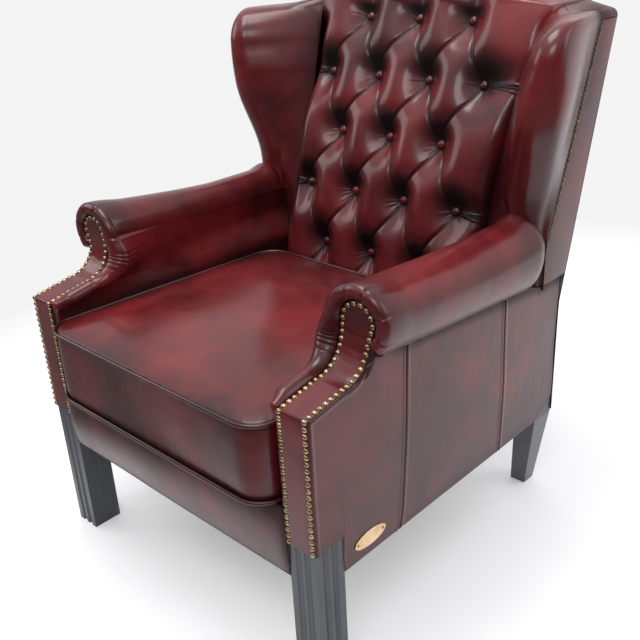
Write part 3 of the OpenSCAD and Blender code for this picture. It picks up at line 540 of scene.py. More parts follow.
# %% The buttoned back
def buttoned_back():
    xs = np.linspace(-TUFT_HALF, TUFT_HALF, 305)
    s, x = np.meshgrid(np.linspace(LOW_S, HIGH_S, 419), xs, indexing="ij")
    h, hollow = pillows(x, s)
    front = on_back(x, s, h)
    wide, last_y, last_z = front[-1].T
    top = top_z(wide)
    edge = panel_y(top - TURN_OVER) - 0.1
    over = [np.stack([wide, mid(edge, last_y, math.cos(a)), last_z + (top - last_z) * math.sin(a)], -1)
            for a in np.linspace(0, math.pi / 2, 17)[1:]]
    behind = [np.stack([wide, panel_y(top - d) - 0.4, top - d], -1) for d in (TURN_OVER, 30, 48)]
    foot = [np.stack([xs, post_y(z) - 4.3 + 0 * xs, z + 0 * xs], -1) for z in (900, 700, 500)]
    foot.append(np.stack([xs, POST_Y + 0 * xs, front[0, :, 2]], -1))
    grid = np.concatenate([front, over, behind, foot]).transpose(1, 0, 2)
    # Painted shade on the front and half of it on the roll-over; raised parts get wear and a painted
    # highlight
    shade = np.concatenate([hollow, np.repeat(hollow[-1:] * 0.5, len(over), 0),
                            np.zeros((len(behind) + len(foot), len(xs)))]).T
    obj = skin("buttoned_back", grid, LEATHER, loop=True, ends=True, hollow=shade,
               worn=np.clip(1 - shade * 2, 0, 1) * 0.35)
    belongs(obj, "chair", ["inside_back"])


buttoned_back()

# %% [markdown]
# ## Buttons and nails
# Seventeen covered buttons and about 270 nails are the same few shapes over and over. Copies could be set
# by hand, but a small node tree does it for all: a dome with its underside cut away is set on every point,
# turned to the point's own direction, and tilted a little. The result is made a plain mesh.

# %% Helpers for node trees
def geometry_tree(name, source, sizes, made):
    """A tree with a named source, sizes and a finish as its inputs."""
    tree = bpy.data.node_groups.new(name, "GeometryNodeTree")
    face = tree.interface
    face.new_socket(source, in_out="INPUT", socket_type="NodeSocketGeometry")
    for key, value in sizes.items():
        face.new_socket(key, in_out="INPUT", socket_type="NodeSocketFloat").default_value = value
    face.new_socket("Finish", in_out="INPUT", socket_type="NodeSocketMaterial")
    face.new_socket(made, in_out="OUTPUT", socket_type="NodeSocketGeometry")
    return tree, add(tree, "NodeGroupInput")


def wire(tree, *links):
    """Links, each given as a node, its output, the next node and that one's input."""
    for a, output, b, socket in links:
        tree.links.new(a.outputs[output], b.inputs[socket])


def close_tree(tree, given, last, output, made):
    """Smooth shading and the finish come last."""
    soft, paint = add(tree, "GeometryNodeSetShadeSmooth"), add(tree, "GeometryNodeSetMaterial")
    wire(tree, (last, output, soft, "Geometry"), (soft, "Geometry", paint, "Geometry"),
         (given, "Finish", paint, "Material"), (paint, "Geometry", add(tree, "NodeGroupOutput"), made))


def made_by(tree, name, mesh, **values):
    """What a tree makes from a mesh, as an object with a plain mesh and no modifier."""
    obj = new_object(name + "_source", mesh)
    mod = obj.modifiers.new(tree.name, "NODES")
    mod.node_group = tree
    for item in tree.interface.items_tree:
        if item.in_out == "INPUT" and item.name in values:
            mod[item.identifier] = values[item.name]
    view = bpy.context.evaluated_depsgraph_get()
    made = bpy.data.meshes.new_from_object(obj.evaluated_get(view))
    bpy.data.objects.remove(obj)
    made.name = name
    print(name, len(made.polygons), "faces")
    return new_object(name, made)


# %% Domes on points
def dome_tree():
    tree, given = geometry_tree("domes_on_points", "Points", {"Radius": 0.005, "Height": 0.003, "Tilt": 0.0},
                                "Domes")
    ball = add(tree, "GeometryNodeMeshUVSphere", Segments=16, Rings=10, Radius=1.0)
    place, parts = add(tree, "GeometryNodeInputPosition"), add(tree, "ShaderNodeSeparateXYZ")
    low = add(tree, "FunctionNodeCompare", operation="LESS_THAN", B=-0.35)
    cut = add(tree, "GeometryNodeDeleteGeometry")
    size, shape = add(tree, "ShaderNodeCombineXYZ"), add(tree, "GeometryNodeTransform")
    wire(tree, (place, 0, parts, 0), (parts, "Z", low, "A"), (ball, "Mesh", cut, "Geometry"),
         (low, "Result", cut, "Selection"), (given, "Radius", size, "X"), (given, "Radius", size, "Y"),
         (given, "Height", size, "Z"), (cut, "Geometry", shape, "Geometry"), (size, 0, shape, "Scale"))
    aim = add(tree, "GeometryNodeInputNamedAttribute", data_type="FLOAT_VECTOR", Name="aim")
    shake = add(tree, "FunctionNodeRandomValue", data_type="FLOAT_VECTOR", Min=(-1, -1, -1), Max=(1, 1, 1),
                Seed=11)
    tilt, lean = add(tree, "ShaderNodeVectorMath", operation="SCALE"), add(tree, "ShaderNodeVectorMath")
    turn = add(tree, "FunctionNodeAlignRotationToVector", axis="Z")
    put, real = add(tree, "GeometryNodeInstanceOnPoints"), add(tree, "GeometryNodeRealizeInstances")
    wire(tree, (shake, "Value", tilt, 0), (given, "Tilt", tilt, "Scale"), (aim, "Attribute", lean, 0),
         (tilt, 0, lean, 1), (lean, 0, turn, "Vector"), (given, "Points", put, "Points"),
         (shape, "Geometry", put, "Instance"), (turn, "Rotation", put, "Rotation"),
         (put, "Instances", real, "Geometry"))
    close_tree(tree, given, real, "Geometry", "Domes")
    return tree


DOMES = dome_tree()


def domes(name, points, aims, size, finish, tilt):
    """Domes of a radius and height in millimetres, each aimed its own way."""
    mesh = bpy.data.meshes.new(name + "_points")
    mesh.from_pydata(to_row(points).tolist(), [], [])
    layer = mesh.attributes.new("aim", "FLOAT_VECTOR", "POINT")
    layer.data.foreach_set("vector", np.asarray(aims, np.float32).ravel())
    print(name, len(points), "domes")
    return made_by(DOMES, name, mesh, Radius=size[0] / 1000, Height=size[1] / 1000, Tilt=tilt, Finish=finish)


# %% Covered buttons
BUTTON = (9.6, 6.6)  # radius and height of its dome


def covered_buttons():
    bx, bs = np.array(BUTTONS).T
    places = on_back(bx, bs, 1.2)
    aims = on_back(bx, bs, 1.0) - on_back(bx, bs, 0.0)
    obj = domes("covered_buttons", places, aims, BUTTON, LEATHER, 0.06)
    belongs(obj, "chair", ["back_buttons"])


covered_buttons()

# %% [markdown]
# ## Wings
# A wing is a padded board: nearly flat inside, rounded at its front edge, and drawn back to a row of small
# nails on the outside. Its outline from above changes with height, as it leans out and forward. A block with
# subdivision would need every corner moved by hand. Here loops of the outline are joined from the arm to the
# top, where the pad rounds over.

# %% Lines that the wings follow
BEND_Z, NAIL_LEAN = 574.0, math.radians(21.3)  # where the row of nails starts to lean, and how far
INSIDE, NOSE, OUTSIDE = 29, 24, 22  # points along each part of a loop
SHOWN = INSIDE + NOSE + OUTSIDE


def splay_share(z):
    return ease((z - SCROLL[2] + 14) / (SHOULDER - 68 - SCROLL[2]))


def tip_x(z):
    """Middle of the rounded front edge, across the chair."""
    return HALF_W - WING_R - 11 + 48 * splay_share(z)


def tip_y(z):
    """The same from front to back. The wing leans forward, and turns back near its top."""
    ahead = 26 * ease((z - SCROLL[2] - ROLL_R) / 152)
    turn = np.clip((z - WING_TOP + 64) / 64, 0, 0.999)
    return WING_Y + WING_R + 0.1 - ahead + 40 * (1 - np.sqrt(1 - turn ** 2))


def nail_line(z):
    return WING_Y + WING_R + SKIN + np.maximum(0, z - BEND_Z) * math.tan(NAIL_LEAN)


def tuft_line(z):
    """The curved base of the buttoned back, at a height."""
    lean = np.arcsin(math.sin(LEAN0) + (z - TUFT_Z) / SWEEP_R)
    return TUFT_Y + SWEEP_R * (math.cos(LEAN0) - np.cos(lean))


def curve(a, b, c, d, t):
    """A smooth line from a to d that heads for b and then c."""
    return (1 - t) ** 3 * a + 3 * t * (1 - t) ** 2 * b + 3 * t ** 2 * (1 - t) * c + t ** 3 * d


def wing_loop(z, d, past, side):
    """The outline at a height, drawn in by d. Past the shoulder it reaches the outside back."""
    turn = min(0.999, max(0, (z - WING_TOP + 96) / 96))
    soft = 28 * (1 - math.sqrt(1 - turn ** 2))
    full = 8 * float(ease((z - 640) / 50) * (1 - ease((z - 850) / 60)))
    centre = np.array([tip_x(z) + 0.6 * soft - full, tip_y(z) + 0.5 * full])
    nose = centre + (WING_R - soft + full) * polar(np.radians(np.linspace(215, 355, NOSE + 1)))
    enter, leave = nose[0], nose[-1]
    deep = 20 + 20 * ease((z - 700) / 160) + 25 * ease((z - 860) / 100) if side > 0 else 3
    start = np.array([TUFT_HALF + 0.1, tuft_line(z) + deep + 0.5 * soft])
    end = np.array([HALF_W - d, nail_line(z) - 0.4])
    inner = curve(start, mid(start, enter, 0.3) + [-1, -6], mid(enter, start, 0.28) + [-2.0, -4.5], enter,
                  np.linspace(0, 1, INSIDE + 1)[:-1, None])
    reach = np.linalg.norm(end - leave)
    outer = curve(leave, leave + [0.5, 0.34 * reach], end + [1.5, -0.22 * reach], end,
                  np.linspace(0, 1, OUTSIDE)[:, None])
    x1 = HALF_W - d if past else HALF_W - SKIN - 0.1
    y1 = panel_y(z) - 0.2 - d / 2 if past else post_y(z) - 4.3
    rest = [[x1, end[1] + 0.5], [x1, mid(end[1], y1, 0.5)], [x1, y1], [mid(x1, start[0], 0.5), y1],
            [start[0], y1]]
    loop = np.vstack([inner, nose[:-1], outer, rest])
    return np.column_stack([loop, np.full(len(loop), z)])


# %% Wings
def wing_grid(side):
    """Loops up to the shoulder, a rounded edge, and rings that close the top."""
    edge = WING_TOP - SHOULDER
    loops = [wing_loop(z, 0, False, side) for z in np.linspace(500, SHOULDER - 0.2, 96)]
    loops += [wing_loop(SHOULDER + edge * math.sin(a), edge * (1 - math.cos(a)), True, side)
              for a in np.linspace(0, math.pi / 2, 9)]
    top = loops[-1]
    for k in (0.85, 0.65, 0.4, 0.15):
        ring = mid(top.mean(0), top, k)
        ring[:, 2] = WING_TOP + 1.6 * (1 - k ** 2)
        loops.append(ring)
    return np.array(loops)


def raise_top(grid):
    """The top is a dome that rises towards the buttoned back."""
    x, y, z = np.moveaxis(grid, -1, 0)
    wide = mid(108, 160, np.clip((x - TUFT_HALF) / 60, 0, 1))
    dome = np.sqrt(1 - np.clip((844 - y) / wide, 0, 1) ** 2)
    grid[..., 2] += dome * np.interp(x, STEPS, (36, 23, 0)) * ease((z - 925) / 49)


def wing_push(grid, side):
    """How far the leather stands out: broad softness, gathers at its foot and a fuller foot outside."""
    z, cols = grid[..., 2], np.arange(grid.shape[1])
    run = np.clip(cols / SHOWN, 0, 1)
    soft = 1.3 * ripple(run * 7, z / 75, 21 + side) * np.sin(math.pi * run)
    base = np.exp(-np.maximum(0, z - 590) / 26)
    gathers = 1.5 * base * np.sin(run * 95 + 2 * ripple(run * 9, z / 60, 3))
    gathers *= np.sin(math.pi * np.clip(run * 1.25, 0, 1)) ** 2
    outer = ease((cols - INSIDE - 0.45 * NOSE) / (0.3 * NOSE))
    outer = outer * (1 - ease((cols - INSIDE - NOSE - 0.35 * OUTSIDE) / (0.6 * OUTSIDE)))
    return (soft + gathers + 9 * base * outer) * (cols < SHOWN - 1) * (z < WING_TOP - 2)


def wing(name, side):
    grid = wing_grid(side)
    raise_top(grid)
    out = grid[:, :, :2] - grid[:, :, :2].mean(1, keepdims=True)
    out /= np.linalg.norm(out, axis=-1, keepdims=True)
    grid[..., :2] += out * wing_push(grid, side)[..., None]
    z, cols = grid[..., 2], np.arange(grid.shape[1])
    # Painted shade in the crevice by the back, beside the nails and at the foot; the nose gets wear and a
    # painted highlight
    hollow = np.maximum(bump(cols / INSIDE, 0.22) * (0.95 if side > 0 else 0.5),
                        0.85 * bump((cols - SHOWN + 1) / OUTSIDE, 0.16))
    hollow = np.maximum(hollow, 0.7 * np.exp(-np.maximum(0, z - 560) / 34))
    worn = 0.5 * bump((cols - INSIDE - NOSE / 2) / NOSE, 0.5) + 0 * z
    grid[..., 0] *= side
    obj = skin("wing_" + name, grid, LEATHER, loop=True, ends=True, hollow=hollow, worn=worn)
    belongs(obj, "chair", ["wing_pad_" + name])


both_sides(wing)

# %% [markdown]
# ## Strips behind the wings, and their nails
# Outside each wing a narrow strip of leather closes the frame, and a row of small nails holds its front edge.
# The strip could be a flat sheet, but real leather pulled over a board stands up a little between its edges.

# %% Strips and small nails
SMALL_NAIL, SMALL_STEP, FIRST_NAIL = (2.9, 2.0), 8.4, 516.0  # a dome, from nail to nail, and the lowest


def wing_nails(name, side):
    count = int((SHOULDER - 16 - FIRST_NAIL) / math.cos(NAIL_LEAN) / SMALL_STEP)
    z = np.linspace(FIRST_NAIL, SHOULDER - 14, count + 1)
    at = np.column_stack([np.full(z.shape, side * HALF_W), nail_line(z) + 3.4, z])
    aims = np.tile([side, -0.12, 0], (len(z), 1))
    obj = domes("wing_nails_" + name + "_domes", at, aims, SMALL_NAIL, SMALL_BRASS, 0.12)
    belongs(obj, "chair", ["wing_nails_" + name])


def wing_strip(name, side):
    us = np.concatenate([[0, 0.0], np.linspace(0.01, 0.99, 16), [1, 1]])
    z, u = np.meshgrid(np.linspace(508.2, SHOULDER - 0.6, 70), us, indexing="ij")
    x = HALF_W - 0.4 + 1.5 * np.sin(math.pi * u) ** 0.7
    x[:, [0, -1]] -= 2.6
    y = mid(nail_line(z) + 0.6, panel_y(z) - 0.2, u)
    grid = np.stack([side * (x + 0.5 * ripple(y / 30, z / 60, 31)), y, z], -1)
    # Painted shade along both edges of the strip
    hollow = np.maximum(0.8 * bump(u, 0.06), 0.6 * bump(1 - u, 0.05))
    obj = skin("wing_strip_" + name, grid, LEATHER, inside=(0, 650, 700), hollow=hollow)
    belongs(obj, "chair", ["outside_wing_" + name])
    wing_nails(name, side)


both_sides(wing_strip)

# %% [markdown]
# ## Arms
# One leather wraps an arm: it starts under the roll outside, goes over the roll and down the inside, and its
# front end is gathered round a padded rim beside the facing. So the arm is one skin here too. Each row runs
# from the facing over the rim and back to the wing. The rows follow the rim round the scroll, down the hollow
# sweep and along the low part to the front corner. A few deep folds cross the rim where the leather is full.
# Separate rolls and panels would be easier, but seams would show where the real arm has none.

# %% The line that the rim follows
# Runs up the facing's middle line: to its corner, along the slope, round the sweep, and all of it
LOW_RUN = CORNER_Z - LEG_SHOW
SLOPE_RUN = math.hypot(RAMP_Y, RAMP_Z - CORNER_Z)
SWEEP_RUN = RAMP_R * math.pi / 2
SIDE_RUN = LOW_RUN + SLOPE_RUN + SWEEP_RUN + SCROLL[2] - RAMP_Z - RAMP_R
print("run up a facing:", round(SIDE_RUN, 1))


def strip_point(t):
    """Depth, height and lean of the facing's middle line at a run t up from the leather's hem."""
    upright = np.array([-1.0, 0.0])
    if t < LOW_RUN:
        return 0.0, LEG_SHOW + t, upright
    t -= LOW_RUN
    if t < SLOPE_RUN:
        u = t / SLOPE_RUN
        return RAMP_Y * u, mid(CORNER_Z, RAMP_Z, u), np.array([CORNER_Z - RAMP_Z, RAMP_Y]) / SLOPE_RUN
    t -= SLOPE_RUN
    if t < SWEEP_RUN:
        c, s = polar(-math.pi / 2 * (1 - t / SWEEP_RUN))
        return RAMP_Y + RAMP_R * c, RAMP_Z + RAMP_R + RAMP_R * s, np.array([-c, -s])
    return SCROLL[1], RAMP_Z + RAMP_R + t - SWEEP_RUN, upright


def arm_in(y):
    """The inside of the arm just over the deck."""
    return mid(290.0, 244.0, (y + 31) / 547) + 4.3


def ramp_at(y):
    """Height of the facing's line over a place y."""
    y = np.clip(y, 0, SCROLL[1])
    return np.where(y <= RAMP_Y, mid(CORNER_Z, RAMP_Z, y / RAMP_Y),
                    RAMP_Z + RAMP_R - np.sqrt(np.maximum(0, RAMP_R ** 2 - (y - RAMP_Y) ** 2)))


def inner_face(y, z):
    """The inside of the arm, from the deck up to the roll."""
    top_x = mid(276.0, 279.0, ease((y - SCROLL[1]) / ROLL_R))
    top = mid(np.minimum(ramp_at(y) + 1, 546), ARM_Z, ease((y - SCROLL[1]) / 60))
    return mid(arm_in(y), top_x, ease((z - 496) / (top - 496)))


# %% Rows over the rim
FRONT, INWARD = np.array([0, -1.0, 0]), np.array([-1.0, 0, 0])
RIM_R = 12.5  # radius of the padded rim round the scroll


def leaned(n, towards, share):
    n = mid(n, np.array(towards), share)
    return np.array([0, *n / np.linalg.norm(n)])


def rim_rows():
    """Centre, outward and front directions and radius of the rim, and a number that says where each row is.

    The rows run from the outer tuck round the scroll (-84 to 180 degrees), down the sweep and to the deck."""
    rows = []
    for mark in np.concatenate([[-84, -74], np.linspace(-66, 180, 150)]):
        c, s = polar(math.radians(mark))
        out = np.array([c, 0, s])
        grow, tuck = 4.0 * ease((mark - 120) / 60), ease((-40 - mark) / 22)
        centre = np.array([SCROLL[0], SCROLL[1] + 3.5 + 0.6 * grow + 8 * tuck, SCROLL[2]])
        centre += out * (ROLL_R - RIM_R + grow - 2 * tuck)
        rows.append((centre, out, FRONT, mid(RIM_R + grow, 3.5, tuck), mark))
    for t in np.linspace(SIDE_RUN - 2, LOW_RUN + 4, 110):
        y, z, n = strip_point(t)
        down, low = SIDE_RUN - t, ease((LOW_RUN + 34 - t) / 30)
        r = mid(16.5, 9.0, low) + 9.5 * bump(down - 42, 32) - 2 * ease((down - 85) / 25) * (1 - low)
        ahead = leaned(n, [-0.5, 0.86], low)
        x = mid(SCROLL[0] - SCROLL_R - r, LEG_IN - r, ease(down / 22))
        centre = np.array([x, y + 2 * low, z - 3 * low]) - (r - mid(11.0, 9.0, low)) * ahead
        rows.append((centre, INWARD, ahead, r, 180 + down))
    for t in np.linspace(LOW_RUN - 6, LOW_RUN - 168, 30):
        z, down = strip_point(t)[1], LOW_RUN - t
        k = ease(down / 20)
        ahead = leaned(np.array([-0.6, 0.8]), [-1.0, 0.0], k)
        centre = np.array([LEG_IN - mid(9, 5, k), mid(6, 9, k), z - 3])
        rows.append((centre, INWARD, ahead, mid(9, 5, k), 400 + down))
    return rows


# %% Outline of the roll near the wing
# Angle, x and z from the roll's middle: its top slopes down towards the outside
ROLL_REAR = np.array([(-84, 6, -58), (-66, 24, -54), (-40, 41, -37), (-10, 48, -13), (15, 44, 6),
                      (45, 28, 23), (75, 6, 38), (100, -14, 46), (124, -35, 44), (150, -52, 27),
                      (180, -59, 0)], float)
# How far the roll sinks from the scroll to the wing, sags between them, and grows under its middle
FALL, DIP, GROW = 13.0, 5.0, 0.62


def smooth_rear():
    """The outline above without its corners: angles, then x and z."""
    k = np.arange(-84, 181, 4.0)
    soft = bump(np.arange(-12, 13), 5.0)
    lines = [np.pad(np.interp(k, ROLL_REAR[:, 0], ROLL_REAR[:, c]), 12, "reflect", reflect_type="odd")
             for c in (1, 2)]
    return k, *(np.convolve(line, soft / soft.sum(), "valid") for line in lines)


REAR = smooth_rear()


def roll_section(mark, share):
    """A point of the roll's outline at an angle: round at the front, sloping near the wing."""
    rear = np.array([np.interp(mark, REAR[0], line) for line in REAR[1:]])
    return mid(ROLL_R * polar(math.radians(mark)), rear, share)


def along(y):
    """How far along the arm a place is: 0 at the scroll and 1 at the front of the wing."""
    return max(0, (y - SCROLL[1]) / (WING_Y - SCROLL[1]))


# %% Points of an arm
RIM_FOLDS = [(112, 3.4), (72, 3.8), (22, 3.2), (-22, 2.6)]
EDGE_PLEATS = [(208, 1.4), (215, 2.0), (222, 2.4), (231, 1.6), (243, 1.1)]


def fold_depth(mark):
    """How deep a row lies in the folds that cross the rim."""
    folds = sum(depth * math.exp(-abs(mark - place) / 1.5) for place, depth in RIM_FOLDS)
    if 184 < mark < 400:
        folds += sum(depth * bump(mark - place, 1.6) for place, depth in EDGE_PLEATS)
    return folds


def roll_point(y, start, mark, folds, puff, side):
    """A point of the roll, behind the rim's point `start`, with its painted shade and its wear and painted
    highlight.
    """
    f, up = along(y), math.sin(math.radians(mark))
    fade = math.exp(-(y - start[1]) / 11)
    close = math.sqrt(max(0.2, 1 - (max(0, y - 572) / 52) ** 2))
    at = roll_section(mark, min(1, 0.12 + 1.4 * f) * ease((y - start[1]) / 70)) * close
    wave = 0.9 * float(ripple(y / 80, mark / 40, 77 + side))
    at += polar(math.radians(mark)) * ((puff - folds * 0.8) * fade + wave * (1 - fade))
    stretch = 1 + GROW * f if up < 0 else 1
    swoop = 10 * float(ease((y - 545) / 45)) * max(0.0, up)
    z = SCROLL[2] - FALL * f - DIP * hill(f) ** 1.2 + at[1] * stretch + swoop
    # Painted shade in the folds, at the end by the wing and on the underside; the top gets wear and a painted
    # highlight
    hollow = folds * 0.18 * fade + 0.6 * ease((y - 575) / 30) + 0.6 * max(0, -up - 0.55)
    worn = 0.9 * ease(up) * (1 - ease((y - 520) / 80)) * ease((y - 150) / 60)
    return (SCROLL[0] + at[0], y, z), min(1, hollow), worn


def inside_point(y, start, folds, side):
    """A point of the inside arm, behind the rim's point `start`, with its painted shade and its wear and
    painted highlight.
    """
    f = min(1, along(y))
    fade = math.exp(-(y - start[1]) / 12)
    z = start[2] - (FALL * f + DIP * hill(f) ** 1.2) * np.clip((start[2] - 500) / 112, 0, 1)
    x = mid(float(inner_face(y, z)), start[0], math.exp(-((y - start[1]) / 42) ** 1.3))
    x += folds * 0.6 * fade + 1.0 * ripple(y / 60, z / 45, 91 + side) * (1 - fade)
    # Painted shade in the folds, towards the wing and at the foot by the deck; higher up, wear and a painted
    # highlight
    hollow = folds * 0.22 * fade + 0.75 * ease((y - 540) / 60) + 0.6 * ease((506 - z) / 14)
    return (x, y, z), min(1, hollow), 0.5 * ease((z - 505) / 40) * (1 - ease((y - 480) / 90))


# %% Arms
def arm(name, side):
    rows, around = rim_rows(), np.radians(np.linspace(-20, 180, 27))
    back = np.linspace(0, 1, 72)[1:] ** 1.25
    grid, hollow = blank(rows, [*around, *back])
    worn = np.zeros(hollow.shape)
    for j, (centre, out, ahead, r, mark) in enumerate(rows):
        folds, puff = fold_depth(mark), 0.5 * float(ripple(mark / 14, 0.0, 33 + side))
        for i, b in enumerate(around):
            share = math.sin(max(b, 0)) ** 0.5 if b < math.pi / 2 else 1
            d = r - folds * share * 0.8 + puff * share
            grid[j, i] = centre + d * (-math.cos(b) * out + math.sin(b) * ahead)
            # Painted shade in the rim's folds and under it, and wear with a painted highlight over its top
            hollow[j, i] = min(1, folds * 0.2 * share + (0.9 if b < 0.1 else 0.35 * math.exp(-b * 2)))
            worn[j, i] = 0.5 * bump(math.degrees(b) - 100, 40)
        start = grid[j, len(around) - 1].copy()
        for k, t in enumerate(back, len(around)):
            grid[j, k], hollow[j, k], worn[j, k] = (
                roll_point(mid(start[1], 620.0, t), start, mark, folds, puff, side) if mark <= 180.01
                else inside_point(mid(start[1], 690.0, t), start, folds, side))
    grid[..., 0] *= side
    obj = skin("arm_" + name, grid, LEATHER, inside=(side * 320, 380, 590), hollow=hollow, worn=worn)
    belongs(obj, "chair", ["arm_roll_" + name, "inside_arm_" + name])


both_sides(arm)

# %% [markdown]
# ## Facings
# The flat strip up the front of an arm follows the sweep and ends in a round top inside the scroll. It is a
# little padded, and the leather creases where the sweep is tightest. Domed nails run up both of its edges.
# A solid with a bump would look flat from the side, so the padding and the creases are in its points.

# %% Facings and their nails
NAIL, NAIL_STEP, NAIL_IN = (4.6, 3.3), 11.4, 5.5  # a dome, from nail to nail, and in from the edge
PAD = 1.9  # how far the strip stands out in its middle


def facing_edges(t):
    """The strip's place and lean at a run t, and its inner and outer edge."""
    y, z, n = strip_point(t)
    if z <= SCROLL[2] or n[1] > 0.01:
        f = float(np.clip((z - 578) / 34, 0, 1)) if n[1] < 0.5 else 0.0
        return y, z, n, mid(LEG_IN, SCROLL[0] - SCROLL_R, f), mid(HALF_W, SCROLL[0] + SCROLL_R, f)
    half = math.sqrt(max(0, SCROLL_R ** 2 - (z - SCROLL[2]) ** 2))
    return y, z, n, SCROLL[0] - half, SCROLL[0] + half


def facing_nails(name, side):
    at, aims = [], []
    for t in np.linspace(NAIL_IN, SIDE_RUN, int((SIDE_RUN - NAIL_IN) / NAIL_STEP) + 1):
        y, z, n, x0, x1 = facing_edges(t)
        at += [[side * x, y + n[0] * 0.6, z + n[1] * 0.6] for x in (x0 + NAIL_IN, x1 - NAIL_IN)]
        aims += [[0, n[0], n[1]]] * 2
    r = SCROLL_R - NAIL_IN
    for a in np.linspace(0, math.pi, int(math.pi * r / NAIL_STEP) + 1)[1:-1]:
        at.append([side * (SCROLL[0] + r * math.cos(a)), SCROLL[1] - 0.6, SCROLL[2] + r * math.sin(a)])
        aims.append(FRONT)
    obj = domes("facing_nails_" + name + "_domes", at, aims, NAIL, NAIL_BRASS, 0.12)
    belongs(obj, "chair", ["facing_nails_" + name])


def facing(name, side):
    round_top = SIDE_RUN + SCROLL_R * np.sin(np.linspace(0.05, 1.57, 26))
    ts = np.concatenate([np.linspace(1, SIDE_RUN, 190), round_top])
    us = np.concatenate([[0, 0], np.linspace(0.02, 0.98, 25), [1, 1]])
    grid, hollow = blank(ts, us)
    for i, t in enumerate(ts):
        y, z, n, x0, x1 = facing_edges(t)
        corner, sweep = t - LOW_RUN, bump(t - LOW_RUN - SLOPE_RUN - 62, 36)
        wrap = float(ease((z - 535) / 12))
        for j, u in enumerate(us):
            if j in (0, len(us) - 1):
                crease, lift, inset, deep = 0, -3 - 14 * wrap, 1.2 - 1.7 * wrap, 0.7
            else:
                crease = sweep * 0.55 * float(ripple(t / 4.5, u * 3.5, 62 + side)) * math.sin(math.pi * u)
                lift = PAD * (1 - (2 * u - 1) ** 4) + crease - 1.1 * bump(u - 0.5, 0.5) * bump(corner, 7)
                inset, deep = 0.6, 0.5 * math.exp(-min(u, 1 - u) / 0.07)
            grid[i, j] = [side * mid(x0 + inset, x1 - inset, u), y + n[0] * lift, z + n[1] * lift]
            # Painted shade at the edges, at the top inside the scroll, at the corner and in the creases; wear
            # and a painted highlight elsewhere
            hollow[i, j] = min(1, deep + 0.225 * ease((z - 585) / 40) + 0.25 * bump(corner, 4)
                               + max(0, -crease) * 0.2)
    obj = skin("facing_" + name, grid, LEATHER, inside=(side * 330, 300, 450), hollow=hollow,
               worn=np.clip(0.6 - hollow, 0, 1))
    belongs(obj, "chair", ["arm_facing_" + name])
    facing_nails(name, side)


both_sides(facing)

# %% [markdown]
# ## Outside panels
# The outside of each arm is one tight panel with two upright seams. Its front edge turns over a small lip
# beside the nails. A flat plate would give dead reflections, so the panel swells a little, each seam sinks
# between two low ridges, and the edges are tucked in.

# %% Outside arms
PANEL_REAR = BACK_Y0 - 3.4  # where the panel turns in at the rear leg
STRIP_FOOT = 507.8  # where it ends, under the strip behind the wing
FIRST_SEAM, SECOND_SEAM = 197, 497  # at the height of the rail


def roll_low(y):
    """The underside of the roll, where the panel is tucked in."""
    f = along(y)
    return SCROLL[2] - FALL * f - ROLL_R * math.sin(math.radians(66)) * (1 + GROW * f)


def panel_top(y):
    if y <= RAMP_Y:
        return mid(CORNER_Z, RAMP_Z, max(0, y) / RAMP_Y) - 1.5
    if y < 126:
        return RAMP_Z + RAMP_R - math.sqrt(max(0, 63.1 ** 2 - (y - RAMP_Y) ** 2))
    if y < WING_Y:
        return min(ARM_Z, roll_low(y) + 6) + 9 * float(ease((y - 141) / 8) * (1 - ease((y - 175) / 30)))
    return max(STRIP_FOOT, mid(min(ARM_Z, roll_low(WING_Y) + 6), STRIP_FOOT, (y - WING_Y) / 30))


def panel_low(y):
    """The foot: over the front leg, along the rail, up the rear leg and along its lean."""
    if y > PANEL_REAR:
        return KINK_Z + (y - PANEL_REAR) / math.tan(RAKE)
    if y > POST_Y:
        return mid(RAIL_Z, RAIL_Z + 34, (y - POST_Y) / (PANEL_REAR - POST_Y))
    return LEG_SHOW + 0.4 if y < 64 else RAIL_Z


def from_edge(y, z, high):
    """Distance from the panel's front edge, or from its top edge under the scroll."""
    away = y if y < RAMP_Y else 99
    if z > CORNER_Z - 30 and y < 150:
        away = min(away, high - z + (2 if y < 100 else 0))
    return min(away, max(0, y)) if z < CORNER_Z else away


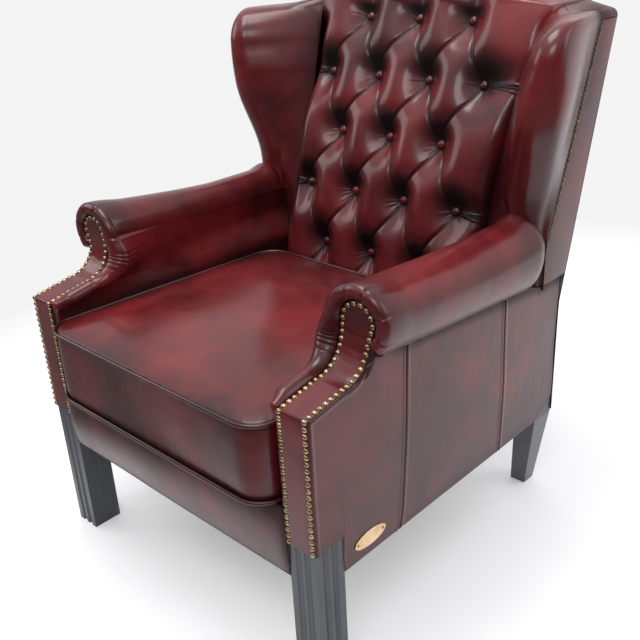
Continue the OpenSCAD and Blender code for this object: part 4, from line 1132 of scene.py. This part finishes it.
def outside_arm(name, side):
    ys = np.unique(np.concatenate([[1.6, 3, 5, 7.5, 10, 63.9, 64.1], np.linspace(12, 190, 60),
                                   np.linspace(190, 232, 40), np.linspace(232, 480, 60),
                                   np.linspace(480, 514, 34), np.linspace(514, 709.4, 60), [PANEL_REAR]]))
    us = np.linspace(0, 1, 90)
    grid, hollow = blank(ys, us)
    for i, y in enumerate(ys):
        low, high = panel_low(y), panel_top(y)
        for j, u in enumerate(us):
            z = mid(low, high, u)
            up, away = z - RAIL_Z, from_edge(y, z, high)
            x = HALF_W - 1.0 + 2.6 * hill((y - 8) / (PANEL_REAR - 8)) ** 0.8 * hill(up / 330) ** 0.7
            for seam in (FIRST_SEAM + 25 * math.sqrt(max(0, up) / 330), SECOND_SEAM + 4 * math.sin(up / 105)):
                x += 0.9 * bump(abs(y - seam) - 4.5, 3.5) - 2.3 * bump(y - seam, 1.1)
                # A dark line in each seam, partly the joint and partly painted shade
                hollow[i, j] += 0.9 * bump(y - seam, 1.5)
            x += 2.4 * bump(away - 5.5, 3.6) - 2.5 * bump(away, 2.2)
            pull = (y - 520) * 0.55 + (z - 500) * 0.83
            x += 0.9 * bump(pull, 16) * bump(z - 455, 45) - 0.9 * bump(z - low, 2.5)
            x += 0.7 * float(ripple(y / 75, z / 60, 55 + side)) - (2.0 if abs(y - PANEL_REAR) < 2 else 0)
            grid[i, j] = [side * x, y, z]
            # Painted shade under the roll, at the foot, at the front edge and by the rear leg
            under = ease((z - high + 26) / 24) if y > 126 else 0
            hollow[i, j] = min(1, hollow[i, j] + 0.8 * under + 0.5 * math.exp(-(z - low) / 12)
                               + 0.3 * math.exp(-abs(away - 1) / 4) + 0.3 * ease((y - PANEL_REAR + 24) / 24))
    obj = skin("outside_arm_skin_" + name, grid, LEATHER, inside=(0, 350, 380), hollow=hollow)
    belongs(obj, "chair", ["outside_arm_" + name])


both_sides(outside_arm)

# %% [markdown]
# ## Front border and outside back
# Under the cushion the front rail carries a narrow padded border. The outside back is one broad panel that
# bends where the rear legs start to lean. Both are sheets that stand proud in their middle, made as the
# outside arms are.

# %% Front border
def border_panel():
    top = 343
    xs = np.linspace(-LEG_IN + 0.3, LEG_IN - 0.3, 150)
    zs = np.concatenate([[RAIL_Z + 8, RAIL_Z + 0.6], np.linspace(RAIL_Z, top, 44), [top + 0.5, top - 1]])
    turned_in = {0: 9.0, len(zs) - 2: 6.0, len(zs) - 1: 12.0}
    grid, hollow = blank(xs, zs)
    for i, x in enumerate(xs):
        tuck = 1 - math.exp(-(LEG_IN - abs(x)) / 5)
        for j, z in enumerate(zs):
            swell = 9.6 * hill((z - RAIL_Z) / (top + 0.2 - RAIL_Z)) ** 0.85 * mid(0.45, 1, tuck)
            y = 2.6 - swell + 0.8 * float(ripple(x / 80, z / 40, 12))
            grid[i, j] = [x, turned_in.get(j, y), z]
            # Painted shade at the foot, under the top edge and at the ends by the legs
            hollow[i, j] = min(1, 0.7 * math.exp(-(z - RAIL_Z) / 8) + 0.9 * math.exp(-(top - z) / 14)
                               + 0.7 * (1 - tuck))
    obj = skin("border_panel", grid, LEATHER, inside=(0, 200, 280), hollow=hollow)
    belongs(obj, "chair", ["front_border"])


border_panel()


# %% Outside back
STEP_LOW, STEP_HIGH = 971, 1001  # ends of the two slopes from the wing's top to the arch


def half_at(z):
    """Half the panel's width at a height."""
    _, inner, outer = STEPS
    if z <= SHOULDER:
        return HALF_W
    if z <= STEP_LOW:
        return mid(HALF_W, outer, (z - SHOULDER) / 13)
    if z <= STEP_HIGH:
        return mid(outer, inner, (z - STEP_LOW) / 30)
    arch = TUFT_HALF * math.sqrt(max(0, (PANEL_TOP - z) / ARCH))
    return max(8.0, arch * mid(inner / TUFT_HALF, 1, min(1, (z - STEP_HIGH) / 6)))


def outside_back_panel():
    zs = np.concatenate([[RAIL_Z + 0.5], np.linspace(RAIL_Z + 2, KINK_Z, 50),
                         np.linspace(KINK_Z + 6, STEP_HIGH, 90),
                         PANEL_TOP - ARCH * np.linspace(0.97, 0, 26) ** 2])
    us = np.concatenate([[-1, -0.995], np.linspace(-0.99, 0.99, 120), [0.995, 1]])
    grid, hollow = blank(zs, us)
    for i, z in enumerate(zs):
        half, y, a = half_at(z), float(back_y(z)) - 0.8, RAKE * float(ease((z - KINK_Z + 20) / 40))
        swell = 2.2 * hill((z - RAIL_Z) / (PANEL_TOP - RAIL_Z)) ** 0.6
        for j, u in enumerate(us):
            x = u * half
            under_arch = PANEL_TOP - ARCH * (x / TUFT_HALF) ** 2 - z if z > 950 else 99
            edge = max(0, min(half - abs(x), z - RAIL_Z, under_arch))
            lift = swell * (1 - u ** 4) - 2.6 * math.exp(-edge / 2.4) - 0.2
            lift += 0.8 * float(ripple(x / 120, z / 110, 8))
            grid[i, j] = [x, y + lift * math.cos(a), z - lift * math.sin(a)]
            # Painted shade along the edges
            hollow[i, j] = 0.8 * math.exp(-edge / 7)
    obj = skin("outside_back_skin", grid, LEATHER, inside=(0, 400, 600), hollow=hollow)
    belongs(obj, "chair", ["outside_back"])


outside_back_panel()

# %% [markdown]
# ## Seat
# The loose cushion is a firm box: a crowned top panel, a border that pulls in between its corners, and piping
# sewn round both edges. The leather has broad, soft dents where people have sat, and small pulls along the
# seams. Inflating a box would crown it too, but its seams have to stay on the piping, so its loops are
# placed by rule.

# %% Outline of the cushion
SEAT_Z, BORDER, CROWN, CORNER_R, PIPING_R = 348.0, 136.0, 22.0, 52.0, 3.5
SEAT_FRONT, SEAT_REAR, SEAT_HALF = -31, 516, 290  # front, rear, and half the width at the front
LEAN_IN = math.atan(46 / (SEAT_REAR - SEAT_FRONT))


def ring(inset, pull, side_count=44, corner_count=15):
    """The cushion's outline, drawn in by an inset, with sides that pull in between the corners."""
    arcs, square = [], math.pi / 2
    for y, a0, a1 in ((SEAT_FRONT + CORNER_R, -square, LEAN_IN), (SEAT_REAR - CORNER_R, LEAN_IN, square)):
        x = SEAT_HALF - (y - SEAT_FRONT) * math.tan(LEAN_IN) - CORNER_R / math.cos(LEAN_IN)
        arcs.append(np.array([x, y]) + (CORNER_R - inset) * polar(np.linspace(a0, a1, corner_count)))
    arcs += [arc[::-1] * [-1, 1] for arc in arcs[::-1]]
    out = []
    for arc, after in zip(arcs, arcs[1:] + arcs[:1]):
        a, b = arc[-1], after[0]
        normal = np.array([a[1] - b[1], b[0] - a[0]]) / np.linalg.norm(b - a)
        t = (np.arange(1, side_count) / side_count)[:, None]
        out += [arc, mid(a, b, t) + normal * pull * np.sin(math.pi * t)]
    return np.concatenate(out)


# %% Cushion
SAT_IN = 3.0  # how far the middle has been sat in


def cushion():
    low, high = SEAT_Z, SEAT_Z + BORDER
    centre = np.array([0, (SEAT_FRONT + SEAT_REAR) / 2])
    base, drawn = ring(3.6, 0), ring(1, 4)
    n = len(base)
    run = np.arange(n) / n * 2 * math.pi
    loops, shade = [], []

    def lay(points, z, deep):
        loops.append(np.column_stack([points, z + np.zeros(n)]))
        shade.append(np.full(n, deep))

    # Painted shade on the underside and at both seams of the border
    for k in (0.10, 0.3, 0.5, 0.7, 0.85, 0.95):
        lay(mid(centre, base, k), low - 1.5 * (1 - k), 0.5)
    lay(base, low + 1, 1.0)
    for t in np.linspace(0, 1, 30):
        edge = mid(base, drawn, min(1, np.sin(math.pi * t) ** 0.55 * 1.15))
        pulls = 1.1 * ripple(run * 9, t * 1.2, 61) * math.sin(math.pi * t)
        tight = 0.5 * np.sin(run * 86 + 2 * np.sin(run * 7)) * (bump(t, 0.10) + bump(1 - t, 0.10))
        out = edge - centre
        out /= np.linalg.norm(out, axis=1, keepdims=True)
        lay(edge + out * (pulls - 1.6 + tight)[:, None], mid(low + 3.5, high - 3.5, t),
            0.75 * math.exp(-t / 0.06) + 0.6 * math.exp(-(1 - t) / 0.05))
    lay(base, high - 0.5, 0.9)
    for k in np.concatenate([np.linspace(0.985, 0.8, 16), np.linspace(0.77, 0.05, 22)]):
        at = mid(centre, base, k)
        rise = CROWN * (0.55 * (1 - k ** 2.6) + 0.45 * (1 - k ** 7))
        dents = 1.8 * ripple(at[:, 0] / 95, at[:, 1] / 95, 17) * (1 - k ** 4)
        sat = -SAT_IN * bump(at[:, 0], 170) * bump(at[:, 1] - 270, 150) * (1 - k ** 3)
        small = 0.45 * np.sin(run * 74 + 3 * np.sin(run * 5)) * bump((k - 0.98) / 0.07, 1)
        lay(at, np.minimum(high + rise + dents + sat + small, high + CROWN - 0.2),
            0.8 * math.exp(-(1 - k) / 0.018))
    grid, hollow = np.array(loops), np.array(shade)
    # Painted shade towards the rear of the top, under the back
    hollow = np.maximum(hollow, 0.42 * ease((grid[..., 1] - 300) / 150) * (grid[..., 2] > high))
    # The top is lighter than the border, partly wear and partly a painted highlight
    worn = 0.85 * ease((grid[..., 2] - high - 2) / 12) + 0.2
    obj = skin("cushion_skin", grid, LEATHER, loop=True, ends=True, hollow=hollow, worn=worn)
    belongs(obj, "cushion", ["seat_cushion"])


cushion()

# %% [markdown]
# ## Piping
# A cord wrapped in leather is sewn into each seam of the cushion. A node tree turns the seam's line into a
# curve and sweeps a round profile along it, so the same tree serves both seams. The line has a faint
# unevenness from the stitching.

# %% Piping
def piping_tree():
    tree, given = geometry_tree("piping_on_line", "Line", {"Radius": 0.003}, "Piping")
    curve_of, sweep = add(tree, "GeometryNodeMeshToCurve"), add(tree, "GeometryNodeCurveToMesh")
    profile = add(tree, "GeometryNodeCurvePrimitiveCircle", Resolution=12)
    wire(tree, (given, "Line", curve_of, "Mesh"), (curve_of, "Curve", sweep, "Curve"),
         (given, "Radius", profile, "Radius"), (profile, "Curve", sweep, "Profile Curve"))
    close_tree(tree, given, sweep, "Mesh", "Piping")
    return tree


PIPING = piping_tree()


def piping(name, node, z):
    line = ring(0.3, 0, 60, 20)
    count = len(line)
    run = np.arange(count) / count * 2 * math.pi
    points = np.column_stack([line, z + 0.5 * ripple(run * 6, run * 0, 71)])
    mesh = bpy.data.meshes.new(name + "_line")
    mesh.from_pydata(to_row(points).tolist(), [(i, (i + 1) % count) for i in range(count)], [])
    obj = made_by(PIPING, name, mesh, Radius=PIPING_R / 1000, Finish=DARK_LEATHER)
    belongs(obj, "cushion", [node])


piping("cushion_piping_low", "piping_lower", SEAT_Z)
piping("cushion_piping_high", "piping_upper", SEAT_Z + BORDER)

# %% [markdown]
# ## Deck
# Under the cushion lies a flat pad covered in black cloth. Its box comes from the model, and only its corners
# and edges are rounded.

# %% Deck
def deck():
    low, high = (np.array(corner) * 1000 + [0, Y_MID, 0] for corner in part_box("seat_deck"))
    (x1, y1, z1), y0, z0, r = high, low[1], low[2], 12
    corners = ((x1 - r, y0 + r, -90), (x1 - r, y1 - r, 0), (r - x1, y1 - r, 90), (r - x1, y0 + r, 180))
    outline = np.concatenate([[cx, cy] + r * polar(np.radians(np.linspace(a0, a0 + 90, 7)))
                              for cx, cy, a0 in corners])
    centre = np.array([0, (y0 + y1) / 2])
    loops = [np.column_stack([mid(centre, outline, k), np.full(len(outline), z)]) for k, z in (
        (0.2, z0), (0.7, z0), (0.97, z0), (1.0, z0 + 6), (1.0, z1 - 9), (0.99, z1 - 4), (0.96, z1 - 2),
        (0.8, z1 - 1), (0.5, z1 - 0.5), (0.2, z1 - 0.4))]
    obj = skin("deck_pad", np.array(loops), BLACK_CLOTH, loop=True, ends=True)
    belongs(obj, "chair", ["seat_deck"])


deck()

# %% [markdown]
# ## Finishes of the wooden frame, the legs and the plate
# The solids of the legs, rails, straps and the plate stay as they are, because their shapes are right. Each
# gets its finish, and the legs get a small bevel, so that their edges catch the light as planed wood does.

# %% Frame finishes
def finish_nodes(mat, nodes, bevel=0.0):
    for node in nodes.split():
        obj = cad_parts[node]
        if not obj.material_slots:
            obj.data.materials.append(mat)
        for s in obj.material_slots:
            s.material = mat
        if bevel:
            obj.modifiers.new("weld", "WELD").merge_threshold = 0.00002
            mod = obj.modifiers.new("bevel", "BEVEL")
            mod.width, mod.segments = bevel, 2
            mod.limit_method, mod.angle_limit = "ANGLE", math.radians(35)
            mod.harden_normals = True
        print(node, "in", mat.name)


finish_nodes(BLACK_WOOD, "front_leg_left front_leg_right rear_leg_left rear_leg_right", 0.0012)
finish_nodes(PALE_WOOD, "front_rail back_rail side_rail_left side_rail_right corner_blocks")
finish_nodes(PALE_WOOD, "arm_post_left arm_post_right arm_rail_left arm_rail_right")
finish_nodes(PALE_WOOD, "arm_board_left arm_board_right top_rail tack_rail wing_frame_left wing_frame_right")
finish_nodes(WEBBING, "seat_webbing back_webbing")
finish_nodes(BLACK_CLOTH, "dust_cover")
finish_nodes(STEEL, "corner_bolts")
finish_nodes(PLATE_BRASS, "oval_plate", 0.0004)
finish_nodes(NAIL_BRASS, "plate_pins")

# %% [markdown]
# ## Room and light
# The chair stands in a pale room with soft light from above. The floor is a plain sheet. Large lamps give
# broad reflections on the leather, and the world is a pale grey. What the camera sees of both is set apart
# from what the leather mirrors: more light would bleach the chair, so the pale ground is a colour.

# %% Floor
PALE, BLACK = (0.90, 0.90, 0.905), (0.0, 0.0, 0.0)
FLOOR_GLOW, FLOOR_SIZE, CHAIR_AT = 0.30, 9000.0, (0.25, 0.35, 0.0)


def pale_floor():
    finish, tree, shader, place = new_material("pale_floor")
    far = FLOOR_SIZE
    floor = skin("floor", [[[-far, -far, 0], [far, -far, 0]], [[-far, far, 0], [far, far, 0]]], finish,
                 inside=(0, 0, -900))
    tint = ramp(tree, noise(tree, place, 1.2, 3.0), [(0.3, (0.80, 0.80, 0.81)), (0.7, (0.84, 0.84, 0.85))])
    rays = add(tree, "ShaderNodeLightPath").outputs
    measure = add(tree, "ShaderNodeVectorMath", operation="DISTANCE")
    tree.links.new(place, measure.inputs[0])
    measure.inputs[1].default_value = CHAIR_AT
    away = measure.outputs["Value"]
    split = add(tree, "ShaderNodeSeparateXYZ")
    tree.links.new(place, split.inputs[0])
    # What the leather mirrors grows dark away from the chair, in front of a line that bends to the left
    edge = held(tree, number(tree, "MULTIPLY", number(tree, "SUBTRACT", away, 1.05), 2.2), 0.85)
    wider = number(tree, "SUBTRACT", number(tree, "MULTIPLY", split.outputs["X"], 0.8), 1.2)
    line = number(tree, "ADD", number(tree, "MAXIMUM", wider, 0.0), 0.9)
    ahead = held(tree, number(tree, "MULTIPLY", number(tree, "SUBTRACT", line, split.outputs["Y"]), 1.6))
    dim = number(tree, "MULTIPLY", number(tree, "MULTIPLY", rays["Is Glossy Ray"], edge), ahead)
    tint = blend_colour(tree, dim, tint, (0.05, 0.05, 0.05))
    # Far from the chair the camera sees one even colour
    beyond = held(tree, number(tree, "MULTIPLY", number(tree, "SUBTRACT", away, 1.0), 1.3))
    beyond = number(tree, "MULTIPLY", beyond, rays["Is Camera Ray"])
    seen = number(tree, "MAXIMUM", rays["Is Camera Ray"], rays["Is Glossy Ray"])
    glow = blend_colour(tree, number(tree, "MULTIPLY", seen, FLOOR_GLOW), BLACK, tint)
    dress(tree, shader, Base_Color=blend_colour(tree, beyond, tint, BLACK), Roughness=1.0,
          Specular_IOR_Level=0.0, Emission_Color=blend_colour(tree, beyond, glow, PALE),
          Emission_Strength=1.0)


pale_floor()


# %% World
def world_light():
    world = bpy.data.worlds.new("room")
    bpy.context.scene.world = world
    world.use_nodes = True
    tree = world.node_tree
    split = add(tree, "ShaderNodeSeparateXYZ")
    tree.links.new(add(tree, "ShaderNodeTexCoord").outputs["Generated"], split.inputs[0])
    behind = ramp(tree, split.outputs["Y"], [(0.0, (0.10, 0.10, 0.105)), (0.45, (0.80, 0.80, 0.81))])
    height = ramp(tree, split.outputs["Z"], [(0.28, BLACK), (0.66, (1, 1, 1))])
    sky = blend_colour(tree, height, behind, (0.98, 0.98, 1.0))
    seen = add(tree, "ShaderNodeLightPath").outputs["Is Camera Ray"]
    dress(tree, tree.nodes["Background"], Color=blend_colour(tree, seen, sky, PALE), Strength=1.0)


world_light()


# %% Lamps
def lamp(name, place, aim, width, height, power):
    data = bpy.data.lights.new(name, "AREA")
    data.shape = "RECTANGLE"
    data.size, data.size_y, data.energy = width, height, power
    z = np.subtract(place, aim)
    z /= np.linalg.norm(z)
    x = np.cross([0, 0, 1.0], z)
    x /= np.linalg.norm(x)
    set_at(new_object(name, data), x, np.cross(z, x), z, place)
    print(name, power, "W")


lamp("ceiling_panel", (-0.3, -0.2, 2.9), (0, 0.1, 0.5), 1.5, 1.0, 32)
lamp("window_left", (-2.6, -1.2, 2.0), (0, 0, 0.6), 1.6, 1.6, 20)
lamp("window_front", (1.35, -1.75, 2.65), (-0.2, 0.1, 0.8), 1.2, 0.8, 17)
lamp("soft_right", (2.4, 1.2, 2.1), (0, 0.1, 0.6), 1.2, 1.6, 12)
bpy.context.scene.view_settings.view_transform = "Standard"
